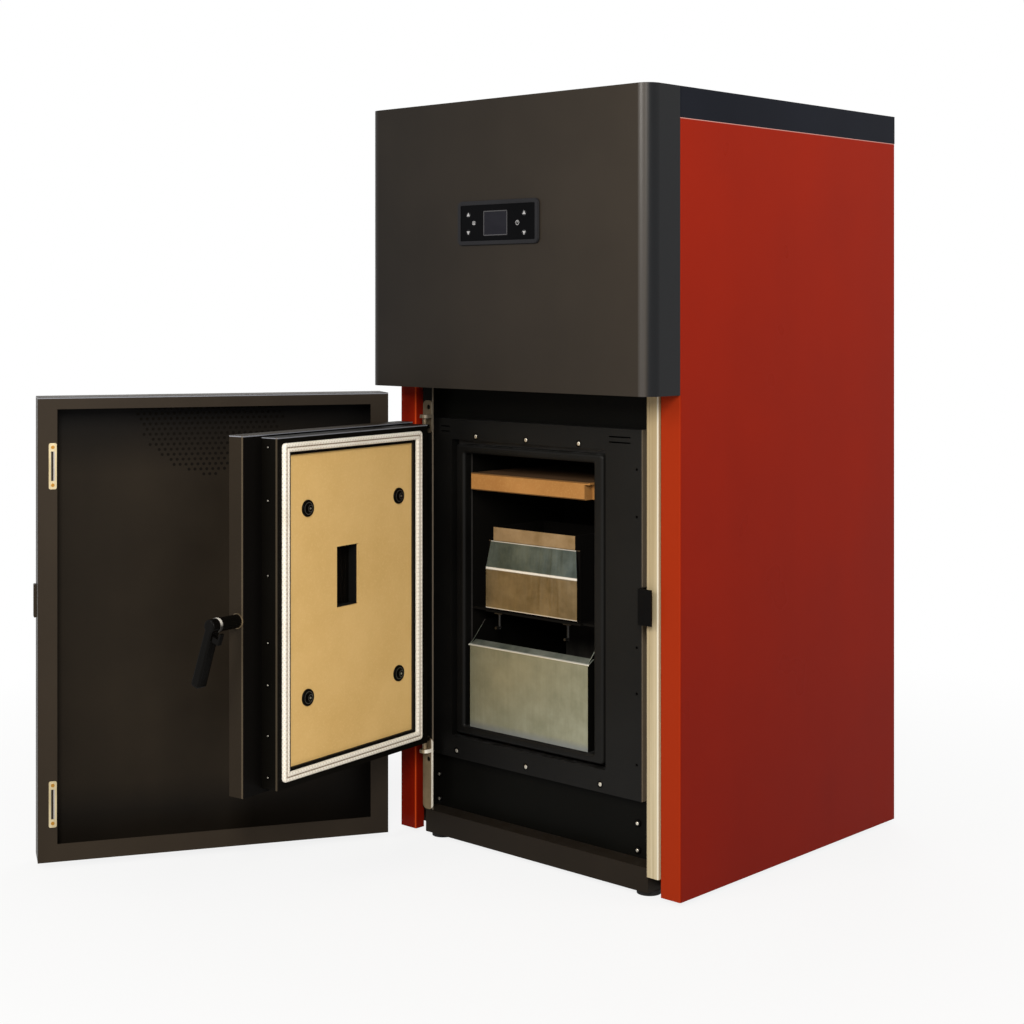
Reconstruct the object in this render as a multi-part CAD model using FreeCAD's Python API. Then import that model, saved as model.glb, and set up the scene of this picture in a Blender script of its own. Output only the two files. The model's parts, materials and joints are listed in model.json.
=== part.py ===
import FreeCAD, Part
import os

V = FreeCAD.Vector

# Pellet boiler, both doors standing open. Millimetres, X right, Y back, Z up.
# The origin is on the floor, at mid-width, in the front plane of the side panels.
# A name ending in INSET, PROUD or OFF is the distance from the size it is taken from.

# Cabinet
WIDTH = 640.0
DEPTH = 645.0
HEIGHT = 1300.0
SHEET = 1.5
FOOT_HEIGHT = 8.0
FOOT_R = 20.0
FOOT_INSET = 84.0
FOOT_FRONT = 26.0
FOOT_REAR_INSET = 41.0
STUD_R = 5.0
POST_R = 12.0
PLINTH_TOP = 48.0
PLINTH_INSET = 65.5
PLINTH_WALL = 3.0
PLINTH_NOSE = 60.0
TRAY_FRONT = 44.0
TRAY_REAR_GAP = 20.0
SIDE_BOTTOM = 7.0
SIDE_BEND = 3.0
COVER_SKIRT = 50.0
RETURN_WIDTH = 40.0
REAR_RETURN = 30.0
LIP_DEPTH = 20.0
COWL_PROUD = 77.0
COWL_BOTTOM = 810.0
COWL_ROUND = 24.0
BACK_INSET = 12.0
VENT_LONG = 100.0
VENT_LOW = 420.0
VENT_STEP = 14.0
VENT_HIGH = 5.0
VENT_ROWS = 8
VENT_OUT = 162.0
VENT_IN = 118.0

# Clearances
RUN = 0.08
PART_GAP = 0.5
FIT = 0.2
PIPE_GAP = 3.0

HALF = WIDTH / 2
COVER_LOW = HEIGHT - COVER_SKIRT
BACK_IN = DEPTH - SHEET
PLINTH_HALF = HALF - PLINTH_INSET
RETURN_IN = HALF - RETURN_WIDTH
FOOT_X = HALF - FOOT_INSET
FOOT_REAR = DEPTH - FOOT_REAR_INSET
FEET = [(x, y) for x in (-FOOT_X, FOOT_X) for y in (FOOT_FRONT, FOOT_REAR)]

# Firebox front
FIRE_X = -28.0
SHIELD_Y = 36.0
SHIELD_SHEET = 2.0
SHIELD_BACK = SHIELD_Y + SHIELD_SHEET
FRAME_Y = 18.0
FRAME_LEFT_INSET = 55.0
FRAME_LEFT = FRAME_LEFT_INSET - HALF
FRAME_RIGHT_INSET = 92.0
FRAME_RIGHT = HALF - FRAME_RIGHT_INSET
FRAME_LOW = 146.0
FRAME_HIGH = 750.0
FRAME_SHEET = 3.0
HOLE_HALF_INSET = 141.0
HOLE_HALF = HALF - HOLE_HALF_INSET
HOLE_LOW = 184.0
HOLE_HIGH = 714.0
HOLE_ROUND = 3.0
NECK_OUT_INSET = 148.0
NECK_OUT = HALF - NECK_OUT_INSET
NECK_HALF_INSET = 170.0
NECK_HALF = HALF - NECK_HALF_INSET
NECK_LOW = 206.0
NECK_HIGH = 690.0
NECK_Y = 20.0
NECK_BAND = 16.0
NECK_ROUND = 6.0
SLOT_HIGH = 2.5
SLOT_STEP = 9.0
SLOT_DOWN = 15.0
SLOT_Z = (FRAME_HIGH - SLOT_DOWN - SLOT_STEP, FRAME_HIGH - SLOT_DOWN)
LONG_SLOT = 46.0
LONG_SLOT_IN = 24.0
SLOT_RIGHT = (FRAME_RIGHT - LONG_SLOT_IN - LONG_SLOT, FRAME_RIGHT - LONG_SLOT_IN)
SHORT_SLOT = 22.0
SHORT_SLOT_IN = 31.0
SLOT_LEFT = (FRAME_LEFT + SHORT_SLOT_IN, FRAME_LEFT + SHORT_SLOT_IN + SHORT_SLOT)

# Screws of the firebox front
SCREW_SHANK = 2.5
HEAD_R = 6.0
HEAD_HIGH = 3.4
SUNK = 1.8
UPPER_SCREW_X_INSET = 200.0
UPPER_SCREW_X = HALF - UPPER_SCREW_X_INSET
LOWER_SCREW_X_INSET = 153.0
LOWER_SCREW_X = HALF - LOWER_SCREW_X_INSET
UPPER_SCREW_Z_OFF = 29.0
UPPER_SCREW_Z = FRAME_HIGH - UPPER_SCREW_Z_OFF
LOWER_SCREW_Z_OFF = 13.0
LOWER_SCREW_Z = FRAME_LOW + LOWER_SCREW_Z_OFF
FRAME_SCREWS = [(FIRE_X + x, UPPER_SCREW_Z) for x in (-UPPER_SCREW_X, 0, UPPER_SCREW_X)]
FRAME_SCREWS += [(FIRE_X + x, LOWER_SCREW_Z) for x in (-LOWER_SCREW_X, 0, LOWER_SCREW_X)]
KICK_LEFT_OFF = 11.0
KICK_LEFT = FRAME_LEFT + KICK_LEFT_OFF
KICK_RIGHT_OFF = 22.0
KICK_RIGHT = FRAME_RIGHT - KICK_RIGHT_OFF
KICK_LOW_OFF = 12.0
KICK_LOW = PLINTH_TOP + KICK_LOW_OFF
KICK_HIGH_OFF = 56.0
KICK_HIGH = PLINTH_TOP + KICK_HIGH_OFF
KICK_SCREWS = [(x, z) for x in (KICK_LEFT, KICK_RIGHT) for z in (KICK_HIGH, KICK_LOW)]
EDGE_SCREW_X_OFF = 11.0
EDGE_SCREW_X = FRAME_RIGHT - EDGE_SCREW_X_OFF
EDGE_SCREW_Z = (204.0, 320.0, 395.0, 608.0, 685.0)

# Jambs beside the firebox front
JAMB_LEFT = FRAME_LEFT
JAMB_RIGHT_OFF = 25.0
JAMB_RIGHT = JAMB_LEFT + JAMB_RIGHT_OFF
JAMB_Y = 3.0
JAMB_SHEET = 2.0
JAMB_TOP_OFF = 20.0
JAMB_TOP = COWL_BOTTOM + JAMB_TOP_OFF
STRIP_LEFT_OFF = 25.0
STRIP_LEFT = RETURN_IN - STRIP_LEFT_OFF
STRIP_FRONT = -5.0
STRIP_LOW = 36.0
STRIP_HIGH_OFF = 2.0
STRIP_HIGH = COWL_BOTTOM - STRIP_HIGH_OFF
STRIP_BEND = 2.5
STRIP_LINE_OFF = 7.0
STRIP_LINE = STRIP_LEFT + STRIP_LINE_OFF
LINE_WIDE = 1.2
LINE_DEEP = 0.6

# Boiler body
BODY_HALF_INSET = 116.0
BODY_HALF = HALF - BODY_HALF_INSET
BODY_FRONT = SHIELD_BACK
BODY_BACK_INSET = 251.0
BODY_BACK = DEPTH - BODY_BACK_INSET
BODY_LOW = 196.0
BODY_HIGH = 860.0
BODY_WALL = 4.0
FIRE_HALF_INSET = 166.0
FIRE_HALF = HALF - FIRE_HALF_INSET
FIRE_FRONT = BODY_FRONT + BODY_WALL
FIRE_BACK_INSET = 349.0
FIRE_BACK = DEPTH - FIRE_BACK_INSET
FIRE_ROOF = 796.0
SHELF_LOW = 412.0
SHELF_THICK = 4.0
SHELF_TOP = SHELF_LOW + SHELF_THICK
SHELF_FRONT = 34.0
SHELF_BACK_OFF = 66.0
SHELF_BACK = FIRE_BACK - SHELF_BACK_OFF
SHELF_NOSE_OFF = 40.0
SHELF_NOSE = NECK_HALF - SHELF_NOSE_OFF
LEDGE_WIDE = 26.0
LEDGE_FRONT = 60.0
LEDGE_THICK = 6.0
TUBE_R = 24.0
TUBE_WALL = 2.5
TUBE_Y_INSET = 300.0
TUBE_Y = DEPTH - TUBE_Y_INSET
BOX_WALL = 3.0
HOOD_HALF_OFF = 14.0
HOOD_HALF = BODY_HALF - HOOD_HALF_OFF
HOOD_FRONT_OFF = 146.0
HOOD_FRONT = FIRE_BACK - HOOD_FRONT_OFF
HOOD_BACK_OFF = 4.0
HOOD_BACK = BODY_BACK - HOOD_BACK_OFF
HOOD_HIGH = 920.0
SMOKE_HALF_OFF = 20.0
SMOKE_HALF = BODY_HALF - SMOKE_HALF_OFF
SMOKE_FRONT_OFF = 4.0
SMOKE_FRONT = FIRE_BACK + SMOKE_FRONT_OFF
DUCT_HALF_OFF = 54.0
DUCT_HALF = FIRE_HALF - DUCT_HALF_OFF
DUCT_FRONT_OFF = 116.0
DUCT_FRONT = FIRE_BACK - DUCT_FRONT_OFF
DUCT_BACK_OFF = 16.0
DUCT_BACK = FIRE_BACK - DUCT_BACK_OFF
LEG_FRONT = 70.0
LEG_THICK = 4.0

# Baffle, burner and ash drawer
BAFFLE_LOW = 626.0
BAFFLE_HIGH = 656.0
BAFFLE_HALF_INSET = 182.0
BAFFLE_HALF = HALF - BAFFLE_HALF_INSET
BAFFLE_FRONT = 24.0
BAFFLE_BACK_OFF = 46.0
BAFFLE_BACK = FIRE_BACK - BAFFLE_BACK_OFF
NOTCH_WIDE = 10.0
NOTCH_DEEP = 20.0
POT_WALL = 4.0
POT_FRONT = 38.0
POT_BACK_OFF = 126.0
POT_BACK = FIRE_BACK - POT_BACK_OFF
POT_HALF_INSET = 225.0
POT_HALF = HALF - POT_HALF_INSET
POT_TOP = 562.0
AIR_HOLE_R = 4.0
COVER_HALF_INSET = 214.0
COVER_HALF = HALF - COVER_HALF_INSET
COVER_FRONT = 30.0
COVER_SHEET = 2.0
COVER_TAPER = 7.0
COVER_LIFT = 4.0
COVER_LEAN = 6.0
COVER_TOP = 538.0
FOLD_Z = 490.0
IGNITER_R = 6.0
IGNITER_Z = 450.0
HOOK_X_OFF = 26.0
HOOK_X = COVER_HALF - HOOK_X_OFF
HOOK_R = 2.5
HOOK_LOW_OFF = 28.0
HOOK_LOW = SHELF_LOW - HOOK_LOW_OFF
HOOK_LONG = 10.0
DRAWER_HALF_INSET = 183.0
DRAWER_HALF = HALF - DRAWER_HALF_INSET
DRAWER_FRONT = 22.0
DRAWER_BACK_OFF = 16.0
DRAWER_BACK = FIRE_BACK - DRAWER_BACK_OFF
DRAWER_LIP = 352.0
DRAWER_HIGH = 392.0
DRAWER_SHOULDER = 60.0

# Feed
AUGER_LOW_Y_INSET = 85.0
AUGER_LOW_Y = DEPTH - AUGER_LOW_Y_INSET
AUGER_LOW_Z = 668.0
AUGER_TOP_Y_INSET = 220.0
AUGER_TOP_Y = DEPTH - AUGER_TOP_Y_INSET
AUGER_TOP_Z_OFF = 122.0
AUGER_TOP_Z = AUGER_LOW_Z + AUGER_TOP_Z_OFF
AUGER_LOW = V(FIRE_X, AUGER_LOW_Y, AUGER_LOW_Z)
AUGER_TOP = V(FIRE_X, AUGER_TOP_Y, AUGER_TOP_Z)
AUGER_R = 30.0
AUGER_WALL = 2.0
AUGER_END = 3.0
AUGER_PITCH = 40.0
SCREW_R = 26.0
SHAFT_R = 8.0
BLADE_HALF = 1.5
GEAR_R = 34.0
GEAR_LONG = 28.0
MOTOR_R = 26.0
MOTOR_LONG = 34.0
CHUTE_SET = 7.0
CHUTE_DROP = 143.0
CHUTE_END_Y_OFF = 24.0
CHUTE_END_Y = FIRE_BACK - CHUTE_END_Y_OFF
CHUTE_TOP = V(FIRE_X, AUGER_TOP_Y + CHUTE_SET, AUGER_TOP_Z - CHUTE_SET)
CHUTE_END = V(FIRE_X, CHUTE_END_Y, AUGER_TOP_Z - CHUTE_SET - CHUTE_DROP)
CHUTE_R = 27.0
CHUTE_WALL = 2.0
CHUTE_CLEAR = 14.0
TUBE_IN = CHUTE_R + CHUTE_CLEAR + TUBE_R
TUBE_OUT = (TUBE_IN + BODY_HALF) / 2
TUBE_X = (-TUBE_OUT, -TUBE_IN, TUBE_IN, TUBE_OUT)

# Exhaust
FAN_Z = 125.0
FAN_R = 72.0
FAN_WALL = 2.0
FAN_BACK_OFF = 56.0
FAN_BACK = BODY_BACK + FAN_BACK_OFF
FAN_SHAFT_R = 5.0
FAN_EYE_R = 40.0
OUTLET_HALF = 50.0
WHEEL_R = 58.0
WHEEL_HUB_R = 12.0
BLADE_IN = 22.0
BLADES = 8
FAN_MOTOR_R = 38.0
FAN_MOTOR_LONG = 60.0
FLUE_R = 40.0
FLUE_WALL = 1.5
FLUE_Z = 250.0
FLUE_END_PROUD = 45.0
FLUE_END = DEPTH + FLUE_END_PROUD
FREE_START_PROUD = 3.0
FREE_START = DEPTH + FREE_START_PROUD

# Water and mains connections
PIPE_R = 13.2
PIPE_BORE = 10.0
PIPE_X_OFF = 54.0
PIPE_X = FIRE_X - BODY_HALF + PIPE_X_OFF
PIPE_COLLAR_R = 18.0
PIPE_COLLAR = 12.0
SUPPLY_Z = 820.0
RETURN_Z = 240.0
PIPE_END_PROUD = 40.0
PIPE_END = DEPTH + PIPE_END_PROUD
INLET_X_INSET = 85.0
INLET_X = HALF - INLET_X_INSET
INLET_Z = 165.0
INLET_HALF = 14.0
INLET_TALL = 12.0
INLET_WALL = 3.0
INLET_DEEP = 15.0
SWITCH_Z_OFF = 50.0
SWITCH_Z = INLET_Z + SWITCH_Z_OFF
SWITCH_HALF = 11.0
SWITCH_TALL = 15.0
SWITCH_WALL = 2.0
SWITCH_DEEP = 18.0
ROCKER_R = 11.0
ROCKER_HALF = 8.6

# Hopper and its lid
HOPPER_HALF_INSET = 120.0
HOPPER_HALF = HALF - HOPPER_HALF_INSET
HOPPER_FRONT_INSET = 243.0
HOPPER_FRONT = DEPTH - HOPPER_FRONT_INSET
HOPPER_BACK_INSET = 39.0
HOPPER_BACK = DEPTH - HOPPER_BACK_INSET
HOPPER_KNEE = 960.0
HOPPER_LIP = 8.0
THROAT_TOP_OFF = 112.0
THROAT_TOP = AUGER_LOW_Z + THROAT_TOP_OFF
THROAT_HALF = 26.0
THROAT_LONG = 50.0
THROAT_BACK_OFF = 8.0
THROAT_BACK = AUGER_LOW_Y - THROAT_BACK_OFF
THROAT_FRONT = THROAT_BACK - THROAT_LONG
LID_OVERLAP = 14.0
LID_RISE = 4.0
LID_SHEET = 2.0
LID_ROUND = 6.0
LID_AXIS_Y_INSET = 13.0
LID_AXIS_Y = DEPTH - LID_AXIS_Y_INSET
LID_AXIS_RISE = 5.0
LID_PIN_R = 2.5
LID_KNUCKLE_R = 4.0
LID_KNUCKLE = 14.0
LID_MIDDLE = 16.5
LID_HINGE_IN = 50.0
LID_HINGE_LONG = 2 * LID_KNUCKLE + LID_MIDDLE
LID_X = (LID_HINGE_IN - HOPPER_HALF, HOPPER_HALF - LID_HINGE_IN - LID_HINGE_LONG)
LID_FRONT = HOPPER_FRONT - LID_OVERLAP
LID_BACK_OFF = 7.0
LID_BACK = LID_AXIS_Y - LID_BACK_OFF
LID_Z = HEIGHT + LID_AXIS_RISE
GRIP_HALF = 50.0
GRIP_BAR = 10.0
GRIP_HIGH = 16.0
GRIP_BEAM = 5.0

# Inner door, sizes with the door shut
INNER_ANGLE = 82.0
INNER_PIVOT_X_OFF = 17.0
INNER_PIVOT_X = FRAME_LEFT + INNER_PIVOT_X_OFF
INNER_PIVOT_Y = -9.0
INNER_PIVOT = V(INNER_PIVOT_X, INNER_PIVOT_Y, 0)
GASKET_FACE = FRAME_Y - PART_GAP
GASKET_THICK = 6.0
GASKET_HALF_OFF = 2.0
GASKET_HALF = HOLE_HALF + GASKET_HALF_OFF
GASKET_WIDTH = 18.0
GASKET_LOW_OFF = 3.0
GASKET_LOW = HOLE_LOW + GASKET_LOW_OFF
GASKET_HIGH_OFF = 17.0
GASKET_HIGH = HOLE_HIGH + GASKET_HIGH_OFF
PRINT_HALF = 1.0
PRINT_DEEP = 1.5
BOX_HINGE_OFF = 36.0
BOX_HINGE = FRAME_LEFT + BOX_HINGE_OFF
BOX_FREE_OFF = 11.0
BOX_FREE = FIRE_X + GASKET_HALF + BOX_FREE_OFF
BOX_LOW_OFF = 11.0
BOX_LOW = GASKET_LOW - BOX_LOW_OFF
BOX_HIGH_OFF = 10.0
BOX_HIGH = GASKET_HIGH + BOX_HIGH_OFF
PAN_FREE_OFF = 21.0
PAN_FREE = FRAME_RIGHT - PAN_FREE_OFF
PAN_LOW_OFF = 8.0
PAN_LOW = BOX_LOW - PAN_LOW_OFF
PAN_HIGH_OFF = 4.0
PAN_HIGH = BOX_HIGH + PAN_HIGH_OFF
PAN_BACK = -22.0
PAN_FRONT = -54.0
PAN_ROUND = 4.0
PAN_BEND = 2.5
LEDGE_LAP = 12.0
DOOR_SHEET = 2.0
BOARD_HALF_INSET = 160.0
BOARD_HALF = HALF - BOARD_HALF_INSET
BOARD_LOW_OFF = 20.0
BOARD_LOW = GASKET_LOW + BOARD_LOW_OFF
BOARD_HIGH_OFF = 20.0
BOARD_HIGH = GASKET_HIGH - BOARD_HIGH_OFF
BOARD_FACE = 7.5
BOARD_THICK = 22.0
SIGHT_LEFT_OFF = 15.0
SIGHT_LEFT = FIRE_X - SIGHT_LEFT_OFF
SIGHT_RIGHT_OFF = 41.0
SIGHT_RIGHT = FIRE_X + SIGHT_RIGHT_OFF
SIGHT_LOW = 448.0
SIGHT_HIGH = 550.0
PANE_LAP = 10.0
PANE_THICK = 5.0
WASHER_LEFT_IN = 37.0
WASHER_RIGHT_IN = 45.0
WASHER_UP = 105.0
WASHER_DOWN = 90.0
WASHER_X = (FIRE_X - BOARD_HALF + WASHER_LEFT_IN, FIRE_X + BOARD_HALF - WASHER_RIGHT_IN)
WASHER_Z = (BOARD_LOW + WASHER_UP, BOARD_HIGH - WASHER_DOWN)
WASHER_R = 14.0
WASHER_THICK = 3.0
BOLT_R = 4.0
BOLT_HEAD_R = 6.0
BOLT_HEAD = 4.0
BOLT_SOCKET_R = 2.5
RIVET_R = 3.0
RIVET_SHANK = 1.6
RIVET_HEAD = 1.4
RIVET_Y = -8.0
RIVET_Z = (195.0, 262.0, 343.0, 411.0, 519.0, 639.0, 725.0)
INNER_PIN_R = 4.0
INNER_LUG_R = 9.0
LUG_THICK = 6.0
TAB_THICK = 6.0
TAB_INSET = 6.0
PIN_SPARE = 2.0
LOW_LUG_OFF = 10.0
LOW_LUG = PAN_LOW - LOW_LUG_OFF
HIGH_LUG_OFF = 6.0
HIGH_LUG = PAN_HIGH + HIGH_LUG_OFF
BRACKET_Y = 1.0
LOW_BRACKET_TOP_OFF = 8.0
LOW_BRACKET_TOP = PAN_LOW + LOW_BRACKET_TOP_OFF
HIGH_BRACKET_LOW_OFF = 21.0
HIGH_BRACKET_LOW = PAN_HIGH - HIGH_BRACKET_LOW_OFF
HIGH_BRACKET_TOP_OFF = 37.0
HIGH_BRACKET_TOP = PAN_HIGH + HIGH_BRACKET_TOP_OFF
LOW_BRACKET_HOLE_OFF = 20.0
LOW_BRACKET_HOLE = LOW_LUG - LOW_BRACKET_HOLE_OFF
HIGH_BRACKET_HOLE_OFF = 12.0
HIGH_BRACKET_HOLE = HIGH_BRACKET_TOP - HIGH_BRACKET_HOLE_OFF
BRACKET_HOLE_R = 4.5

# Handle on the inner door's free edge, and its catch
HANDLE_Y = -34.0
HANDLE_Z = 450.0
HUB_R = 11.0
HUB_END_OFF = 17.0
HUB_END = STRIP_LEFT + HUB_END_OFF
LEVER_LONG = 104.0
LEVER_WIDE = 20.0
LEVER_ROOT = (-7.0, 8.0)
LEVER_TIP = (-5.5, 12.0)
LEVER_TIP_ROUND = 5.0
LEVER_ROUND = 3.0
LEVER_TILT = 20.0
SPINDLE_R = 6.0
COLLAR_X_OFF = 20.0
COLLAR_X = HUB_END - COLLAR_X_OFF
COLLAR_LONG = 5.0
COLLAR_CORE_R_OFF = 2.0
COLLAR_CORE_R = HUB_R - COLLAR_CORE_R_OFF
CATCH_LOW_OFF = 9.0
CATCH_LOW = HANDLE_Z - CATCH_LOW_OFF
CATCH_HIGH_OFF = 58.0
CATCH_HIGH = CATCH_LOW + CATCH_HIGH_OFF
CATCH_FRONT = -18.0
CATCH_LIP = 3.0
CATCH_SIDE_OFF = 3.0
CATCH_SIDE = STRIP_LEFT - CATCH_SIDE_OFF
CATCH_SHEET = 4.0
CATCH_WEB = (CATCH_SIDE - CATCH_SHEET, CATCH_SIDE)
CATCH_END_OFF = 20.0
CATCH_END = STRIP_LEFT + CATCH_END_OFF
HOOK_TIP = 3.5
HOOK_BACK = 24.5

# Outer door, sizes with the door shut
OUTER_ANGLE = 119.6
OUTER_PIVOT_X_INSET = 9.0
OUTER_PIVOT_X = OUTER_PIVOT_X_INSET - HALF
OUTER_PIVOT_Y = -39.0
OUTER_PIVOT = V(OUTER_PIVOT_X, OUTER_PIVOT_Y, 0)
OUTER_HALF_INSET = 17.0
OUTER_HALF = HALF - OUTER_HALF_INSET
OUTER_LOW = 12.0
OUTER_HIGH_OFF = 13.0
OUTER_HIGH = COWL_BOTTOM - OUTER_HIGH_OFF
OUTER_BACK = -8.0
OUTER_BEND = 3.0
RIM_SIDE = 32.0
RIM_TOP = 20.0
RIM_LOW = 30.0
LINER_GAP = 3.0
LINER_FOLD = 12.0
HINGE_Z = (260.0, 620.0)
KNUCKLE_LONG = 28.0
BARREL_R = 5.0
BARREL_PIN_R = 2.5
HINGE_PLATE = 3.0
HINGE_FOOT = 24.0
MAGNET_X_OFF = 24.5
MAGNET_X = OUTER_HALF - MAGNET_X_OFF
MAGNET_HALF = 6.5
MAGNET_LONG = 78.0
MAGNET_Z = (110.0, 681.0)
PULL_LOW = 421.0
PULL_HIGH = 477.0
PULL_PROUD = 5.0
PULL_FRONT = 17.0
PULL_WIDE = 16.0

# Controls on the cowl
PANEL_X = -2.5
PANEL_Z_OFF = 281.5
PANEL_Z = COWL_BOTTOM + PANEL_Z_OFF
PANEL_HALF = 92.5
PANEL_TALL = 75.0
PANEL_PROUD = 3.0
PANEL_DEEP = 25.0
PANEL_ROUND = 9.0
PANEL_WALL = 2.0
SCREEN_LEFT = 31.5
SCREEN_RIGHT = 22.5
SCREEN_DOWN = 21.5
SCREEN_UP = 19.5
SCREEN_X = (PANEL_X - SCREEN_LEFT, PANEL_X + SCREEN_RIGHT)
SCREEN_Z = (PANEL_Z - SCREEN_DOWN, PANEL_Z + SCREEN_UP)
SCREEN_DEEP = 1.5
KEY_R = 4.8
KEY_PROUD = 1.0
KEY_GAP = 0.3
KEY_DEEP = 4.0
KEYS = (
    ("key_left_up", PANEL_X - 66.5, PANEL_Z + 14.0),
    ("key_menu", PANEL_X - 53.5, PANEL_Z),
    ("key_left_down", PANEL_X - 66.5, PANEL_Z - 15.5),
    ("key_right_up", PANEL_X + 61.5, PANEL_Z + 13.5),
    ("key_power", PANEL_X + 46.5, PANEL_Z - 2.0),
    ("key_right_down", PANEL_X + 61.5, PANEL_Z - 18.5),
)


def box(x0, x1, y0, y1, z0, z1):
    return Part.makeBox(x1 - x0, y1 - y0, z1 - z0, V(x0, y0, z0))


def rod(r, start, end):
    way = end - start
    return Part.makeCylinder(r, way.Length, start, way)


def along_x(r, x0, x1, y, z):
    return rod(r, V(x0, y, z), V(x1, y, z))


def along_y(r, x, y0, y1, z):
    return rod(r, V(x, y0, z), V(x, y1, z))


def along_z(r, x, y, z0, z1):
    return rod(r, V(x, y, z0), V(x, y, z1))


def prism(points, way):
    return Part.Face(Part.makePolygon(points + points[:1])).extrude(way)


def fuse(shapes):
    return shapes[0].multiFuse(shapes[1:]).removeSplitter()


def edges_where(shape, test):
    return [e for e in shape.Edges if test(e)]


def upright_at(x, y):
    def test(e):
        b = e.BoundBox
        on = abs(b.XMin - x) + abs(b.XMax - x) + abs(b.YMin - y) + abs(b.YMax - y)
        return on < 0.01 and b.ZLength > 1

    return test


def lying_at_y(y):
    def test(e):
        b = e.BoundBox
        return abs(b.YMin - y) < 0.01 and abs(b.YMax - y) < 0.01

    return test


def rounded_block(x0, x1, y0, y1, z0, z1, r):
    """A block with its four edges along Y rounded."""
    block = box(x0, x1, y0, y1, z0, z1)
    return block.makeFillet(r, edges_where(block, lambda e: e.BoundBox.YLength > 0.5 * (y1 - y0)))


def pan_head(x, y, z, r, high, shank_r, deep):
    """A screw with a rounded head that stands in front of the plane y."""
    head = along_y(r, x, y - high, y, z)
    head = head.makeFillet(0.6 * high, edges_where(head, lying_at_y(y - high)))
    return head.fuse(along_y(shank_r, x, y, y + deep, z))


def save(shape, name):
    shape.exportStep("parts/" + name + ".step")


# Cabinet


def base_frame():
    wide = HALF - SHEET
    w = PLINTH_WALL
    top = PLINTH_TOP - w
    front, back = TRAY_FRONT, BACK_IN - TRAY_REAR_GAP
    tray = box(-PLINTH_HALF, PLINTH_HALF, 0, PLINTH_NOSE, FOOT_HEIGHT, PLINTH_TOP)
    tray = tray.fuse(box(-wide, wide, front, back, FOOT_HEIGHT, PLINTH_TOP))
    tray = tray.cut(box(w - PLINTH_HALF, PLINTH_HALF - w, w, PLINTH_NOSE, FOOT_HEIGHT, top))
    tray = tray.cut(box(w - wide, wide - w, front + w, back - w, FOOT_HEIGHT, top))
    posts = [along_z(POST_R, x, y, FOOT_HEIGHT, top) for x, y in FEET]
    tray = fuse([tray] + posts)
    for x, y in FEET:
        tray = tray.cut(along_z(STUD_R + FIT, x, y, FOOT_HEIGHT, top))
    return tray


def levelling_feet():
    feet = []
    for x, y in FEET:
        pad = along_z(FOOT_R, x, y, 0, FOOT_HEIGHT)
        pad = pad.makeFillet(2, [pad.Edges[0]])
        feet.append(pad.fuse(along_z(STUD_R, x, y, FOOT_HEIGHT, PLINTH_TOP - 8)))
    return Part.makeCompound(feet)


def side_panel(side):
    low, high = SIDE_BOTTOM, COVER_LOW
    inner = RETURN_IN
    sheet = box(HALF - SHEET, HALF, 0, BACK_IN, low, high)
    front = box(inner, HALF, 0, SHEET, low, high)
    lip = box(inner, inner + SHEET, 0, LIP_DEPTH, low, high)
    rear = box(HALF - REAR_RETURN, HALF, BACK_IN - SHEET, BACK_IN, low, high)
    panel = fuse([sheet, front, lip, rear])
    panel = panel.makeFillet(SIDE_BEND, edges_where(panel, upright_at(HALF, 0)))
    inside = upright_at(HALF - SHEET, SHEET)
    panel = panel.makeFillet(SIDE_BEND - SHEET, edges_where(panel, inside))
    panel = panel.makeFillet(2, edges_where(panel, upright_at(inner, 0)))
    if side < 0:
        panel = panel.mirror(V(0, 0, 0), V(1, 0, 0))
    return panel


def back_panel():
    side, y0, y1 = HALF - BACK_INSET, BACK_IN - 1, DEPTH + 1
    panel = box(-side, side, BACK_IN, DEPTH, PLINTH_TOP, COVER_LOW - 4)
    panel = panel.cut(along_y(FLUE_R + PIPE_GAP, FIRE_X, y0, y1, FLUE_Z))
    for z in (SUPPLY_Z, RETURN_Z):
        panel = panel.cut(along_y(PIPE_R + PIPE_GAP, PIPE_X, y0, y1, z))
    x0, x1 = INLET_X - INLET_HALF, INLET_X + INLET_HALF
    panel = panel.cut(box(x0, x1, y0, y1, INLET_Z - INLET_TALL, INLET_Z + INLET_TALL))
    x0, x1 = INLET_X - SWITCH_HALF, INLET_X + SWITCH_HALF
    panel = panel.cut(box(x0, x1, y0, y1, SWITCH_Z - SWITCH_TALL, SWITCH_Z + SWITCH_TALL))
    for n in range(VENT_ROWS):
        z = VENT_LOW + VENT_STEP * n
        for x in (FIRE_X - VENT_OUT, FIRE_X + VENT_IN):
            panel = panel.cut(box(x, x + VENT_LONG, y0, y1, z, z + VENT_HIGH))
    return panel


def top_cover():
    cover = box(-HALF, HALF, 0, DEPTH, COVER_LOW, HEIGHT)
    for x in (-HALF, HALF):
        cover = cover.makeFillet(SIDE_BEND, edges_where(cover, upright_at(x, 0)))
    cover = cover.cut(
        box(SHEET - HALF, HALF - SHEET, SHEET, DEPTH - SHEET, COVER_LOW, HEIGHT - SHEET)
    )
    mouth = HOPPER_HALF - HOPPER_LIP
    y0, y1 = HOPPER_FRONT + HOPPER_LIP, HOPPER_BACK - HOPPER_LIP
    cover = cover.cut(box(-mouth, mouth, y0, y1, HEIGHT - SHEET, HEIGHT))
    parts = [cover]
    y, r = LID_AXIS_Y, LID_KNUCKLE_R
    for x in LID_X:
        end = x + LID_HINGE_LONG
        for x0 in (x, end - LID_KNUCKLE):
            x1 = x0 + LID_KNUCKLE
            parts.append(along_x(r, x0, x1, y, LID_Z))
            parts.append(box(x0, x1, y - r / 2, y + r, HEIGHT - SHEET, LID_Z - 1))
        parts.append(along_x(LID_PIN_R, x, end, y, LID_Z))
    return fuse(parts)


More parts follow.
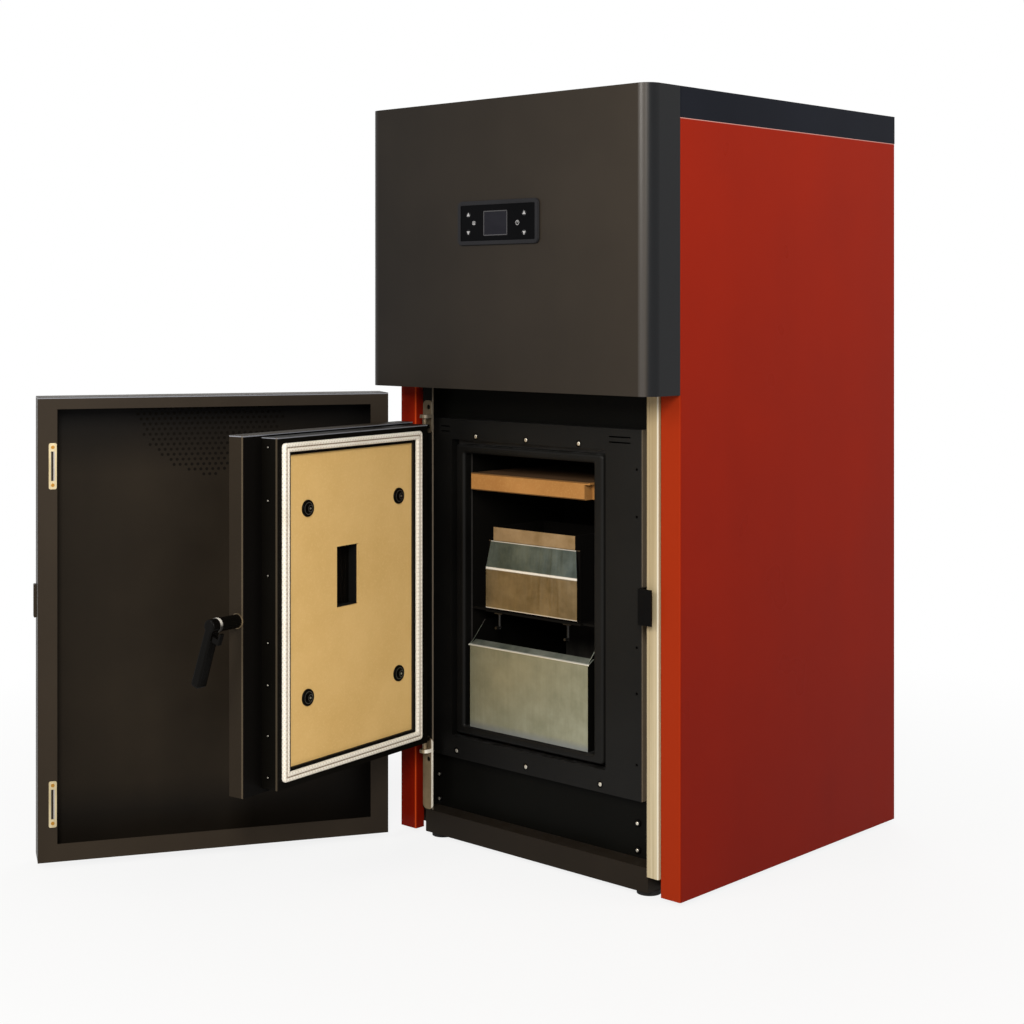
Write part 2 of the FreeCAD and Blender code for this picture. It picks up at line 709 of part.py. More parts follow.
def hopper_lid():
    low = HEIGHT + PART_GAP
    side = HOPPER_HALF + LID_OVERLAP
    lid = box(-side, side, LID_FRONT, LID_BACK, low, HEIGHT + LID_RISE)
    lid = lid.makeFillet(LID_ROUND, edges_where(lid, lambda e: e.BoundBox.ZLength > 1))
    t, top = LID_SHEET, HEIGHT + LID_RISE
    lid = lid.cut(box(t - side, side - t, LID_FRONT + t, LID_BACK - t, low, top - SHEET))
    parts = [lid]
    y, r = LID_AXIS_Y, LID_KNUCKLE_R
    for x in LID_X:
        x0 = x + LID_KNUCKLE + PART_GAP
        x1 = x0 + LID_MIDDLE - 2 * PART_GAP
        parts.append(along_x(r, x0, x1, y, LID_Z))
        parts.append(box(x0, x1, LID_BACK - t - 1, y, HEIGHT + t, top))
    y0, y1 = LID_FRONT + GRIP_BAR, LID_FRONT + 2.2 * GRIP_BAR
    grip = box(-GRIP_HALF, GRIP_HALF, y0, y1, top, HEIGHT + GRIP_HIGH)
    grip = grip.makeFillet(4, edges_where(grip, lambda e: e.BoundBox.XLength < 1))
    under = GRIP_HALF - GRIP_BAR
    grip = grip.cut(box(-under, under, y0 - 1, y1 + 1, top, HEIGHT + GRIP_HIGH - GRIP_BEAM))
    lid = fuse(parts + [grip])
    for x in LID_X:
        lid = lid.cut(along_x(LID_PIN_R + RUN, x, x + 3.5 * LID_KNUCKLE, y, LID_Z))
    return lid


def front_cowl():
    front = -COWL_PROUD
    cowl = box(-HALF, HALF, front, 0, COWL_BOTTOM, HEIGHT)
    hollow = box(
        SHEET - HALF, HALF - SHEET, front + SHEET, 1, COWL_BOTTOM + SHEET, HEIGHT - SHEET
    )
    for s in (-1, 1):
        cowl = cowl.makeFillet(COWL_ROUND, edges_where(cowl, upright_at(s * HALF, front)))
        at = upright_at(s * (HALF - SHEET), front + SHEET)
        hollow = hollow.makeFillet(COWL_ROUND - SHEET, edges_where(hollow, at))
    cowl = cowl.cut(hollow)
    x0, x1, z0, z1 = panel_body(FIT)
    return cowl.cut(box(x0, x1, front - 1, front + SHEET + 1, z0, z1))


# Control panel


def panel_body(grow):
    half, tall = PANEL_HALF - 10 + grow, PANEL_TALL / 2 - 6 + grow
    return PANEL_X - half, PANEL_X + half, PANEL_Z - tall, PANEL_Z + tall


def control_panel():
    face = -COWL_PROUD - PANEL_PROUD
    low, high = PANEL_Z - PANEL_TALL / 2, PANEL_Z + PANEL_TALL / 2
    left, right = PANEL_X - PANEL_HALF, PANEL_X + PANEL_HALF
    plate = rounded_block(left, right, face, -COWL_PROUD, low, high, PANEL_ROUND)
    plate = plate.makeFillet(1.5, edges_where(plate, lying_at_y(face)))
    x0, x1, z0, z1 = panel_body(0)
    back = -COWL_PROUD + PANEL_DEEP
    panel = plate.fuse(box(x0, x1, -COWL_PROUD, back, z0, z1))
    w, y0 = PANEL_WALL, SHEET - COWL_PROUD
    panel = panel.cut(box(x0 + w, x1 - w, y0, back - w, z0 + w, z1 - w))
    panel = panel.cut(control_screen())
    for name, x, z in KEYS:
        panel = panel.cut(along_y(KEY_R + KEY_GAP, x, face - 1, y0 + 1, z))
    return panel


def control_screen():
    face = -COWL_PROUD - PANEL_PROUD
    return box(*SCREEN_X, face, face + SCREEN_DEEP, *SCREEN_Z)


def control_key(x, z):
    face = -COWL_PROUD - PANEL_PROUD - KEY_PROUD
    key = along_y(KEY_R, x, face, KEY_DEEP - COWL_PROUD, z)
    return key.makeFillet(0.6, edges_where(key, lying_at_y(face)))


# Firebox front


def front_shield():
    """The sheet behind the door frame, from the plinth to behind the cowl."""
    side, half = RETURN_IN, HOLE_HALF + 2 * FRAME_SHEET
    low, high = HOLE_LOW - 2 * FRAME_SHEET, HOLE_HIGH + 2 * FRAME_SHEET
    sheet = box(-side, side, SHIELD_Y, SHIELD_BACK, PLINTH_TOP, COVER_LOW - 10)
    sheet = sheet.cut(box(FIRE_X - half, FIRE_X + half, SHIELD_Y, SHIELD_BACK, low, high))
    for x, z in KICK_SCREWS:
        sheet = sheet.cut(along_y(SCREW_SHANK + FIT, x, SHIELD_Y - 1, SHIELD_BACK + 1, z))
    return sheet


def door_frame():
    t = FRAME_SHEET
    f = box(FRAME_LEFT, FRAME_RIGHT, FRAME_Y, SHIELD_Y, FRAME_LOW, FRAME_HIGH)
    f = f.makeFillet(t, edges_where(f, upright_at(FRAME_RIGHT, FRAME_Y)))
    x0, x1 = FIRE_X - HOLE_HALF, FIRE_X + HOLE_HALF
    back = box(
        FRAME_LEFT + t, FRAME_RIGHT - t, FRAME_Y + t, SHIELD_Y, FRAME_LOW + t, FRAME_HIGH - t
    )
    back = back.cut(box(x0 - t, x1 + t, FRAME_Y, SHIELD_Y, HOLE_LOW - t, HOLE_HIGH + t))
    f = f.cut(back)
    hole = rounded_block(x0, x1, FRAME_Y, SHIELD_Y, HOLE_LOW, HOLE_HIGH, HOLE_ROUND)
    f = f.cut(hole)
    for x, z in FRAME_SCREWS:
        f = f.cut(along_y(HEAD_R + FIT, x, FRAME_Y, FRAME_Y + SUNK, z))
        f = f.cut(along_y(SCREW_SHANK + FIT, x, FRAME_Y, FRAME_Y + t + 1, z))
    for z in SLOT_Z:
        for x0, x1 in (SLOT_LEFT, SLOT_RIGHT):
            f = f.cut(box(x0, x1, FRAME_Y, FRAME_Y + t, z, z + SLOT_HIGH))
    for z in EDGE_SCREW_Z:
        f = f.cut(along_y(SCREW_SHANK, EDGE_SCREW_X, FRAME_Y, FRAME_Y + t, z))
    return f


def neck_collar():
    """The rounded rim of the fire opening, set in a groove inside the frame."""
    x0, x1 = FIRE_X - NECK_OUT, FIRE_X + NECK_OUT
    low, high = NECK_LOW - NECK_BAND, NECK_HIGH + NECK_BAND
    ring = rounded_block(x0, x1, NECK_Y, BODY_FRONT, low, high, 8)
    x0, x1 = FIRE_X - NECK_HALF, FIRE_X + NECK_HALF
    ring = ring.cut(rounded_block(x0, x1, NECK_Y, BODY_FRONT, NECK_LOW, NECK_HIGH, HOLE_ROUND))
    return ring.makeFillet(NECK_ROUND, edges_where(ring, lying_at_y(NECK_Y)))


def front_screws():
    """Zinc screws: flush heads where the gasket presses, rounded heads on the shield."""
    screws = []
    y = FRAME_Y
    for x, z in FRAME_SCREWS:
        head = along_y(HEAD_R, x, y, y + SUNK, z)
        screws.append(head.fuse(along_y(SCREW_SHANK, x, y + SUNK, y + 10, z)))
    for x, z in KICK_SCREWS:
        screws.append(pan_head(x, SHIELD_Y, z, HEAD_R, HEAD_HIGH, SCREW_SHANK, 8))
    return Part.makeCompound(screws)


def left_jamb():
    """The dark strip that carries the hinges of the inner door."""
    top = JAMB_TOP
    y0, y1 = JAMB_Y, JAMB_Y + JAMB_SHEET
    strip = box(JAMB_LEFT, JAMB_RIGHT, y0, y1, PLINTH_TOP, top)
    web = box(JAMB_LEFT, JAMB_LEFT + JAMB_SHEET, y0, FRAME_Y, PLINTH_TOP, top)
    ends = [
        box(JAMB_LEFT, JAMB_LEFT + JAMB_SHEET, y0, SHIELD_Y, z0, z1)
        for z0, z1 in ((PLINTH_TOP, FRAME_LOW), (FRAME_HIGH, top))
    ]
    return fuse([strip, web] + ends)


def right_jamb():
    """The pale channel that the magnets of the outer door pull against."""
    x0, x1, y = STRIP_LEFT, RETURN_IN, STRIP_FRONT
    low, high = STRIP_LOW, STRIP_HIGH
    face = box(x0, x1, y, y + SHEET, low, high)
    left = box(x0, x0 + SHEET, y, SHIELD_Y, low, high)
    right = box(x1 - SHEET, x1, y, LIP_DEPTH, low, high)
    strip = fuse([face, left, right])
    for x in (x0, x1):
        strip = strip.makeFillet(STRIP_BEND, edges_where(strip, upright_at(x, y)))
    return strip.cut(box(STRIP_LINE, STRIP_LINE + LINE_WIDE, y, y + LINE_DEEP, low, high))


def inner_hinges():
    """Two plates on the jamb, each with a lug and an upright pin for the inner door."""
    x, y = INNER_PIVOT.x, INNER_PIVOT.y
    parts = []
    low_pin = (LOW_LUG - LUG_THICK, PAN_LOW + TAB_INSET + TAB_THICK + PIN_SPARE)
    high_pin = (PAN_HIGH - TAB_INSET - TAB_THICK - PIN_SPARE, HIGH_LUG + LUG_THICK)
    lower = (PLINTH_TOP, LOW_BRACKET_TOP, LOW_LUG - LUG_THICK, LOW_BRACKET_HOLE, low_pin)
    upper = (HIGH_BRACKET_LOW, HIGH_BRACKET_TOP, HIGH_LUG, HIGH_BRACKET_HOLE, high_pin)
    for low, high, lug_z, hole_z, pin_z in (lower, upper):
        plate = rounded_block(JAMB_LEFT + 2, JAMB_RIGHT + 1, BRACKET_Y, JAMB_Y, low, high, 9)
        plate = plate.cut(along_y(BRACKET_HOLE_R, x - 1, BRACKET_Y, JAMB_Y, hole_z))
        r, top = INNER_LUG_R, lug_z + LUG_THICK
        lug = along_z(r, x, y, lug_z, top).fuse(box(x - r, x + r, y, JAMB_Y, lug_z, top))
        parts.append(fuse([plate, lug, along_z(INNER_PIN_R, x, y, *pin_z)]))
    return Part.makeCompound(parts)


def latch_catch():
    """The bracket on the right of the frame that the handle's cam hooks behind."""
    x, (x0, x1) = FRAME_RIGHT, CATCH_WEB
    low, high, y = CATCH_LOW + 4, CATCH_HIGH - 4, FRAME_Y + 4
    foot = box(x, x + 3, y, SHIELD_Y, low, high)
    arm = box(x, x1, FRAME_Y - 4, y, low, high)
    web = box(x0, x1, CATCH_FRONT, y, CATCH_LOW, CATCH_HIGH)
    lip = box(x0, CATCH_END, CATCH_FRONT, CATCH_FRONT + CATCH_LIP, CATCH_LOW, CATCH_HIGH)
    bolts = []
    for z in (CATCH_LOW + 16, CATCH_HIGH - 17):
        bolts.append(along_y(3.5, (x + x1) / 2, FRAME_Y - 7, FRAME_Y - 4, z))
    return fuse([foot, arm, web, lip] + bolts)


# Boiler body


def boiler_body():
    """The welded water jacket with its smoke hood on top and smoke box below."""
    x0, x1, w = FIRE_X - BODY_HALF, FIRE_X + BODY_HALF, BODY_WALL
    body = box(x0, x1, BODY_FRONT, BODY_BACK, BODY_LOW, BODY_HIGH)
    body = body.cut(
        box(x0 + w, x1 - w, FIRE_FRONT, BODY_BACK - w, BODY_LOW + w, BODY_HIGH - w)
    )
    half = NECK_HALF
    body = body.cut(box(FIRE_X - half, FIRE_X + half, BODY_FRONT, FIRE_FRONT, NECK_LOW, NECK_HIGH))
    half, t = HOOD_HALF, BOX_WALL
    y0, y1, low, high = HOOD_FRONT, HOOD_BACK, BODY_HIGH, HOOD_HIGH
    hood = box(FIRE_X - half, FIRE_X + half, y0, y1, low, high)
    hood = hood.cut(box(FIRE_X - half + t, FIRE_X + half - t, y0 + t, y1 - t, low, high - t))
    half = SMOKE_HALF
    y0, y1, low, high = SMOKE_FRONT, BODY_BACK, PLINTH_TOP, BODY_LOW
    smoke = box(FIRE_X - half, FIRE_X + half, y0, y1, low, high)
    smoke = smoke.cut(box(FIRE_X - half + t, FIRE_X + half - t, y0 + t, y1 - t, low + t, high))
    leg = box(FIRE_X - half, FIRE_X + half, LEG_FRONT, LEG_FRONT + LEG_THICK, low, high)
    half, y0, y1 = DUCT_HALF + w, DUCT_FRONT - w, DUCT_BACK + w
    duct = box(FIRE_X - half, FIRE_X + half, y0, y1, FIRE_ROOF + w, BODY_HIGH)
    body = fuse([body, hood, smoke, duct, leg])
    body = body.cut(roof_hole(BODY_HIGH))
    for dx in TUBE_X:
        hole = along_z(TUBE_R + FIT, FIRE_X + dx, TUBE_Y, BODY_LOW - 1, BODY_HIGH + 1)
        body = body.cut(hole)
    body = body.cut(along_y(FAN_EYE_R + 2, FIRE_X, BODY_BACK - 5, BODY_BACK + 1, FAN_Z))
    body = body.cut(rod(CHUTE_R + FIT, CHUTE_TOP, CHUTE_END))
    for z in (SUPPLY_Z, RETURN_Z):
        body = body.cut(along_y(PIPE_BORE, PIPE_X, BODY_BACK - 5, BODY_BACK + 1, z))
    return body


def firebox():
    """The inner steel box, with ledges for the baffle and the burner shelf."""
    w = BODY_WALL
    x0, x1 = FIRE_X - FIRE_HALF, FIRE_X + FIRE_HALF
    shell = box(x0 - w, x1 + w, FIRE_FRONT, FIRE_BACK + w, NECK_LOW - w, FIRE_ROOF + w)
    shell = shell.cut(box(x0, x1, FIRE_FRONT, FIRE_BACK, NECK_LOW, FIRE_ROOF))
    shelf = box(x0, x1, FIRE_FRONT, SHELF_BACK, SHELF_LOW, SHELF_TOP)
    half = SHELF_NOSE
    nose = box(FIRE_X - half, FIRE_X + half, SHELF_FRONT, FIRE_FRONT, SHELF_LOW, SHELF_TOP)
    half = POT_HALF - 10
    y0, y1 = POT_FRONT + 16, POT_BACK - 20
    shelf = shelf.fuse(nose).cut(box(FIRE_X - half, FIRE_X + half, y0, y1, SHELF_LOW, SHELF_TOP))
    y0, y1, low = LEDGE_FRONT, BAFFLE_BACK, BAFFLE_LOW - LEDGE_THICK
    ledges = [
        box(x0, x0 + LEDGE_WIDE, y0, y1, low, BAFFLE_LOW),
        box(x1 - LEDGE_WIDE, x1, y0, y1, low, BAFFLE_LOW),
    ]
    shell = fuse([shell, shelf] + ledges).cut(roof_hole(FIRE_ROOF + w))
    return shell.cut(rod(CHUTE_R + FIT, CHUTE_TOP, CHUTE_END))


def roof_hole(top):
    """The way for the smoke out of the firebox roof, up to the height given."""
    half = DUCT_HALF
    return box(FIRE_X - half, FIRE_X + half, DUCT_FRONT, DUCT_BACK, FIRE_ROOF, top)


def fire_tubes():
    tubes = []
    for dx in TUBE_X:
        x = FIRE_X + dx
        tube = along_z(TUBE_R, x, TUBE_Y, BODY_LOW, BODY_HIGH + 6)
        bore = along_z(TUBE_R - TUBE_WALL, x, TUBE_Y, BODY_LOW, BODY_HIGH + 6)
        tubes.append(tube.cut(bore))
    return Part.makeCompound(tubes)


def baffle_board():
    x0, x1 = FIRE_X - BAFFLE_HALF, FIRE_X + BAFFLE_HALF
    board = box(x0, x1, BAFFLE_FRONT, BAFFLE_BACK, BAFFLE_LOW, BAFFLE_HIGH)
    board = board.makeChamfer(2, edges_where(board, lying_at_y(BAFFLE_FRONT)))
    y0, y1 = BAFFLE_FRONT - 1, BAFFLE_FRONT + NOTCH_DEEP
    return board.cut(box(x1 - NOTCH_WIDE, x1, y0, y1, BAFFLE_LOW, BAFFLE_HIGH - 4))


def burner_pot():
    """The burner bowl with its air holes and the plate that carries the cover."""
    w, half, y0, y1 = POT_WALL, POT_HALF, POT_FRONT, POT_BACK
    pot = box(FIRE_X - half, FIRE_X + half, y0, y1, SHELF_TOP, POT_TOP)
    bowl = box(
        FIRE_X - half + w, FIRE_X + half - w, y0 + w, y1 - w, SHELF_TOP + w, POT_TOP
    )
    wide = COVER_HALF
    wing = box(FIRE_X - wide, FIRE_X + wide, y0, y0 + w, SHELF_TOP, COVER_TOP)
    pot = fuse([pot.cut(bowl), wing])
    for m in range(-2, 3):
        for n in range(1, 4):
            x, y = FIRE_X + m * half / 3.2, y0 + n * (y1 - y0) / 4
            pot = pot.cut(along_z(AIR_HOLE_R, x, y, SHELF_TOP - 1, SHELF_TOP + w + 1))
    return pot.cut(along_y(IGNITER_R + FIT, FIRE_X, y1 - w - 1, y1 + 1, IGNITER_Z))


def igniter():
    return along_y(IGNITER_R, FIRE_X, POT_BACK - 14, FIRE_BACK, IGNITER_Z)


def burner_cover():
    """The folded steel cover that hangs in front of the burner."""
    t, f, b = COVER_SHEET, COVER_FRONT, POT_FRONT
    x0, x1 = FIRE_X - COVER_HALF, FIRE_X + COVER_HALF
    low, fold, top = SHELF_TOP + COVER_LIFT, FOLD_Z, COVER_TOP
    n, lean = COVER_TAPER, COVER_LEAN

    def level(left, right, front, back, z):
        spots = [V(left, front, z), V(right, front, z), V(right, back, z), V(left, back, z)]
        return Part.makePolygon(spots + spots[:1])

    lower = box(x0, x1, f, b, low, fold)
    upper = Part.makeLoft([level(x0, x1, f, b, fold), level(x0 + n, x1 - n, f + lean, b, top)], True, True)
    inside = box(x0 + t, x1 - t, f + t, b + 1, low - 1, fold)
    hollow = Part.makeLoft(
        [
            level(x0 + t, x1 - t, f + t, b + 1, fold),
            level(x0 + n + t, x1 - n - t, f + lean + t - 0.5, b + 1, top - t),
        ],
        True,
        True,
    )
    return fuse([lower, upper]).cut(fuse([inside, hollow]))


def shelf_hooks():
    """Two bent hooks under the front of the burner shelf."""
    hooks = []
    for dx in (-HOOK_X, HOOK_X):
        x, y = FIRE_X + dx, SHELF_FRONT + 4
        stem = along_z(HOOK_R, x, y, HOOK_LOW, SHELF_LOW)
        toe = along_y(HOOK_R, x, y - HOOK_LONG, y + HOOK_R, HOOK_LOW + HOOK_R)
        plate = box(x - 9, x + 9, y - 4, y + 6, SHELF_LOW - 2, SHELF_LOW)
        hooks.append(fuse([stem, toe, plate]))
    return Part.makeCompound(hooks)


def ash_drawer():
    """The ash box, with a folded grip lip along the top of its front."""
    t = SHEET
    low = NECK_LOW + PART_GAP
    f, b = DRAWER_FRONT, DRAWER_BACK
    x0, x1 = FIRE_X - DRAWER_HALF, FIRE_X + DRAWER_HALF
    outline = [
        V(x0, f, low),
        V(x0, f, DRAWER_LIP),
        V(x0, DRAWER_SHOULDER, DRAWER_HIGH),
        V(x0, b, DRAWER_HIGH),
        V(x0, b, low),
    ]
    drawer = prism(outline, V(x1 - x0, 0, 0))
    drawer = drawer.cut(box(x0 + t, x1 - t, f + t, b - t, low + t, DRAWER_HIGH + 1))
    lip = [
        V(x0 - 3, f - 1, DRAWER_LIP - 2),
        V(x0 - 3, f - 1, DRAWER_LIP),
        V(x0 - 3, f + 13, DRAWER_LIP + 8),
        V(x0 - 3, f + 13, DRAWER_LIP + 6.5),
        V(x0 - 3, f + 1.4, DRAWER_LIP - 2),
    ]
    return fuse([drawer, prism(lip, V(x1 - x0 + 6, 0, 0))])


# Fuel feed


def hopper():
    """A sheet bin whose funnel ends in a throat that saddles the auger tube."""
    t = SHEET
    top = HEIGHT - SHEET

    def bin_solid(g, extra):
        upper = box(
            -HOPPER_HALF + g,
            HOPPER_HALF - g,
            HOPPER_FRONT + g,
            HOPPER_BACK - g,
            HOPPER_KNEE,
            top + extra,
        )
        wide = [
            V(-HOPPER_HALF + g, HOPPER_FRONT + g, HOPPER_KNEE),
            V(HOPPER_HALF - g, HOPPER_FRONT + g, HOPPER_KNEE),
            V(HOPPER_HALF - g, HOPPER_BACK - g, HOPPER_KNEE),
            V(-HOPPER_HALF + g, HOPPER_BACK - g, HOPPER_KNEE),
        ]
        x0, x1 = FIRE_X - THROAT_HALF + g, FIRE_X + THROAT_HALF - g
        y0, y1 = THROAT_FRONT + g, THROAT_BACK - g
        small = [
            V(x0, y0, THROAT_TOP),
            V(x1, y0, THROAT_TOP),
            V(x1, y1, THROAT_TOP),
            V(x0, y1, THROAT_TOP),
        ]
        wires = [Part.makePolygon(p + p[:1]) for p in (small, wide)]
        funnel = Part.makeLoft(wires, True, True)
        throat = box(x0, x1, y0, y1, AUGER_LOW.z - extra, THROAT_TOP)
        return fuse([upper, funnel, throat])

    shell = bin_solid(0, 0).cut(bin_solid(t, 2))
    way = (AUGER_LOW - AUGER_TOP).normalize() * 60
    shell = shell.cut(rod(AUGER_R + FIT, AUGER_LOW + way, AUGER_TOP))
    pieces = sorted(shell.Solids, key=lambda s: s.Volume)
    return pieces[-1]


def auger_tube():
    tube = rod(AUGER_R, AUGER_LOW, AUGER_TOP)
    way = (AUGER_TOP - AUGER_LOW).normalize()
    end = way * AUGER_END
    tube = tube.cut(rod(AUGER_R - AUGER_WALL, AUGER_LOW + end, AUGER_TOP - end))
    tube = tube.cut(rod(SHAFT_R + RUN, AUGER_LOW - way, AUGER_LOW + way + end))
    g = SHEET
    mouth = box(
        FIRE_X - THROAT_HALF + g + 2,
        FIRE_X + THROAT_HALF - g - 2,
        THROAT_FRONT + g + 4,
        THROAT_BACK - g - 4,
        AUGER_LOW.z + 40,
        THROAT_TOP,
    )
    tube = tube.cut(mouth)
    drop = (CHUTE_END - CHUTE_TOP).normalize()
    start = CHUTE_TOP
    return tube.cut(rod(CHUTE_R - CHUTE_WALL - 3, start, start + drop * 60))


def auger_screw():
    way = AUGER_TOP - AUGER_LOW
    length = way.Length
    shaft = Part.makeCylinder(SHAFT_R, length + 20, V(0, 0, -30))
    pitch, low, high = AUGER_PITCH, SHAFT_R, length - 14
    helix = Part.makeHelix(pitch, high - low, SHAFT_R - 1)
    helix.translate(V(0, 0, low))
    blade = Part.makePolygon(
        [
            V(SHAFT_R - 1, 0, low - BLADE_HALF),
            V(SCREW_R, 0, low - BLADE_HALF),
            V(SCREW_R, 0, low + BLADE_HALF),
            V(SHAFT_R - 1, 0, low + BLADE_HALF),
            V(SHAFT_R - 1, 0, low - BLADE_HALF),
        ]
    )
    flight = Part.Wire(helix).makePipeShell([blade], True, True)
    screw = shaft.fuse(flight)
    turn = FreeCAD.Rotation(V(0, 0, 1), way)
    screw.Placement = FreeCAD.Placement(AUGER_LOW, turn)
    return screw


def auger_motor():
    way = (AUGER_LOW - AUGER_TOP).normalize()
    start = AUGER_LOW
    end = start + way * GEAR_LONG
    gear = rod(GEAR_R, start, end)
    motor = rod(MOTOR_R, end, end + way * MOTOR_LONG)
    return gear.fuse(motor).cut(rod(SHAFT_R + 2 * FIT, start - way, end + way * 4))


def feed_chute():
    way = (CHUTE_END - CHUTE_TOP).normalize()
    chute = rod(CHUTE_R, CHUTE_TOP, CHUTE_END)
    chute = chute.cut(rod(CHUTE_R - CHUTE_WALL, CHUTE_TOP - way, CHUTE_END + way))
    up = (AUGER_TOP - AUGER_LOW).normalize() * 40
    chute = chute.cut(rod(AUGER_R, AUGER_LOW, AUGER_TOP + up))
    pieces = sorted(chute.Solids, key=lambda s: s.Volume)
    return pieces[-1]


# Exhaust fan and connections


def fan_housing():
    w, half, top = FAN_WALL, OUTLET_HALF, FLUE_Z + FLUE_R + 8
    y0, y1 = BODY_BACK, FAN_BACK
    drum = along_y(FAN_R, FIRE_X, y0, y1, FAN_Z)
    case = drum.fuse(box(FIRE_X - half, FIRE_X + half, y0 + 1, y1, FAN_Z, top))
    hollow = along_y(FAN_R - w, FIRE_X, y0 + w, y1 - w, FAN_Z)
    half, top = half - w, top - w
    hollow = hollow.fuse(box(FIRE_X - half, FIRE_X + half, y0 + 1 + w, y1 - w, FAN_Z, top))
    case = case.cut(hollow)
    case = case.cut(along_y(FAN_EYE_R, FIRE_X, y0 - 1, y0 + 5, FAN_Z))
    case = case.cut(along_y(FLUE_R - FLUE_WALL, FIRE_X, y1 - 5, y1 + 1, FLUE_Z))
    return case.cut(along_y(FAN_SHAFT_R + 1, FIRE_X, y1 - 5, y1 + 1, FAN_Z))


def fan_wheel():
    """A bladed wheel on its shaft, which runs in the motor's bore."""
    back, front = FAN_BACK - 12, BODY_BACK + 10
    disc = along_y(WHEEL_R, FIRE_X, back - 2, back, FAN_Z)
    hub = along_y(WHEEL_HUB_R, FIRE_X, back - 16, back + 1, FAN_Z)
    shaft = along_y(FAN_SHAFT_R, FIRE_X, back, FAN_BACK + FAN_MOTOR_LONG / 2, FAN_Z)
    blades = []
    x0, x1 = FIRE_X + BLADE_IN, FIRE_X + WHEEL_R - 2
    for n in range(BLADES):
        blade = box(x0, x1, front, back - 1, FAN_Z - 1, FAN_Z + 1)
        blade.rotate(V(FIRE_X, 0, FAN_Z), V(0, 1, 0), 360 / BLADES * n)
        blades.append(blade)
    return fuse([disc, hub, shaft] + blades)


def fan_motor():
    y0, y1 = FAN_BACK, FAN_BACK + FAN_MOTOR_LONG
    motor = along_y(FAN_MOTOR_R, FIRE_X, y0, y1, FAN_Z)
    motor = motor.makeFillet(5, edges_where(motor, lying_at_y(y1)))
    bore = along_y(FAN_SHAFT_R + RUN, FIRE_X, y0 - 1, y0 + FAN_MOTOR_LONG / 2 + 3, FAN_Z)
    return motor.cut(bore)


def flue_spigot():
    pipe = along_y(FLUE_R + 1, FIRE_X, FAN_BACK, FREE_START, FLUE_Z)
    flange = along_y(FLUE_R + 7, FIRE_X, FAN_BACK, FAN_BACK + 3, FLUE_Z)
    free = along_y(FLUE_R, FIRE_X, FREE_START, FLUE_END, FLUE_Z)
    pipe = fuse([pipe, flange, free])
    return pipe.cut(along_y(FLUE_R - FLUE_WALL, FIRE_X, FAN_BACK - 1, FLUE_END + 1, FLUE_Z))


def water_pipe(z):
    pipe = along_y(PIPE_R + 1, PIPE_X, BODY_BACK, FREE_START, z)
    collar = along_y(PIPE_COLLAR_R, PIPE_X, BODY_BACK, BODY_BACK + PIPE_COLLAR, z)
    free = along_y(PIPE_R, PIPE_X, FREE_START, PIPE_END, z)
    pipe = fuse([pipe, collar, free])
    return pipe.cut(along_y(PIPE_BORE, PIPE_X, BODY_BACK - 1, PIPE_END + 1, z))


def power_inlet():
    """The mains module in the back panel: a recessed inlet and a switch frame."""
    half, tall = INLET_HALF - FIT, INLET_TALL - FIT
    y, low, high = DEPTH - INLET_DEEP, INLET_Z - tall, INLET_Z + tall
    socket = box(INLET_X - half, INLET_X + half, y - 8, DEPTH, low, high)
    half, tall = half - INLET_WALL, tall - INLET_WALL
    recess = box(INLET_X - half, INLET_X + half, y, DEPTH + 3, INLET_Z - tall, INLET_Z + tall)
    half, tall = SWITCH_HALF - FIT, SWITCH_TALL - FIT
    y = DEPTH - SWITCH_DEEP
    frame = box(INLET_X - half, INLET_X + half, y - 4, DEPTH, SWITCH_Z - tall, SWITCH_Z + tall)
    half, tall = SWITCH_HALF - SWITCH_WALL, SWITCH_TALL - SWITCH_WALL
    well = box(INLET_X - half, INLET_X + half, y, DEPTH + 2, SWITCH_Z - tall, SWITCH_Z + tall)
    half, low, high = INLET_HALF + 6, INLET_Z - INLET_TALL - 4, SWITCH_Z + SWITCH_TALL + 3
    flange = rounded_block(INLET_X - half, INLET_X + half, DEPTH, DEPTH + 2, low, high, 4)
    module = fuse([socket, flange, frame]).cut(recess).cut(well)
    blades = []
    for dx, dz in ((-6, -2), (0, 2), (6, -2)):
        x, z = INLET_X + dx, INLET_Z + dz
        blades.append(box(x - 1, x + 1, DEPTH - INLET_DEEP, DEPTH - 1, z - 2, z + 2))
    return fuse([module] + blades)


def mains_rocker():
    x0, x1 = INLET_X - ROCKER_HALF, INLET_X + ROCKER_HALF
    y = DEPTH - 6
    rocker = along_x(ROCKER_R, x0, x1, y, SWITCH_Z)
    return rocker.common(box(x0, x1, y - 5, y + 10.5, SWITCH_Z - 12, SWITCH_Z + 12))


# Inner door, drawn shut and then swung open


def opened(shape, pivot, angle):
    turned = shape.copy()
    turned.rotate(pivot, V(0, 0, 1), -angle)
    return turned


def inner_open(shape):
    return opened(shape, INNER_PIVOT, INNER_ANGLE)


def outer_open(shape):
    return opened(shape, OUTER_PIVOT, OUTER_ANGLE)


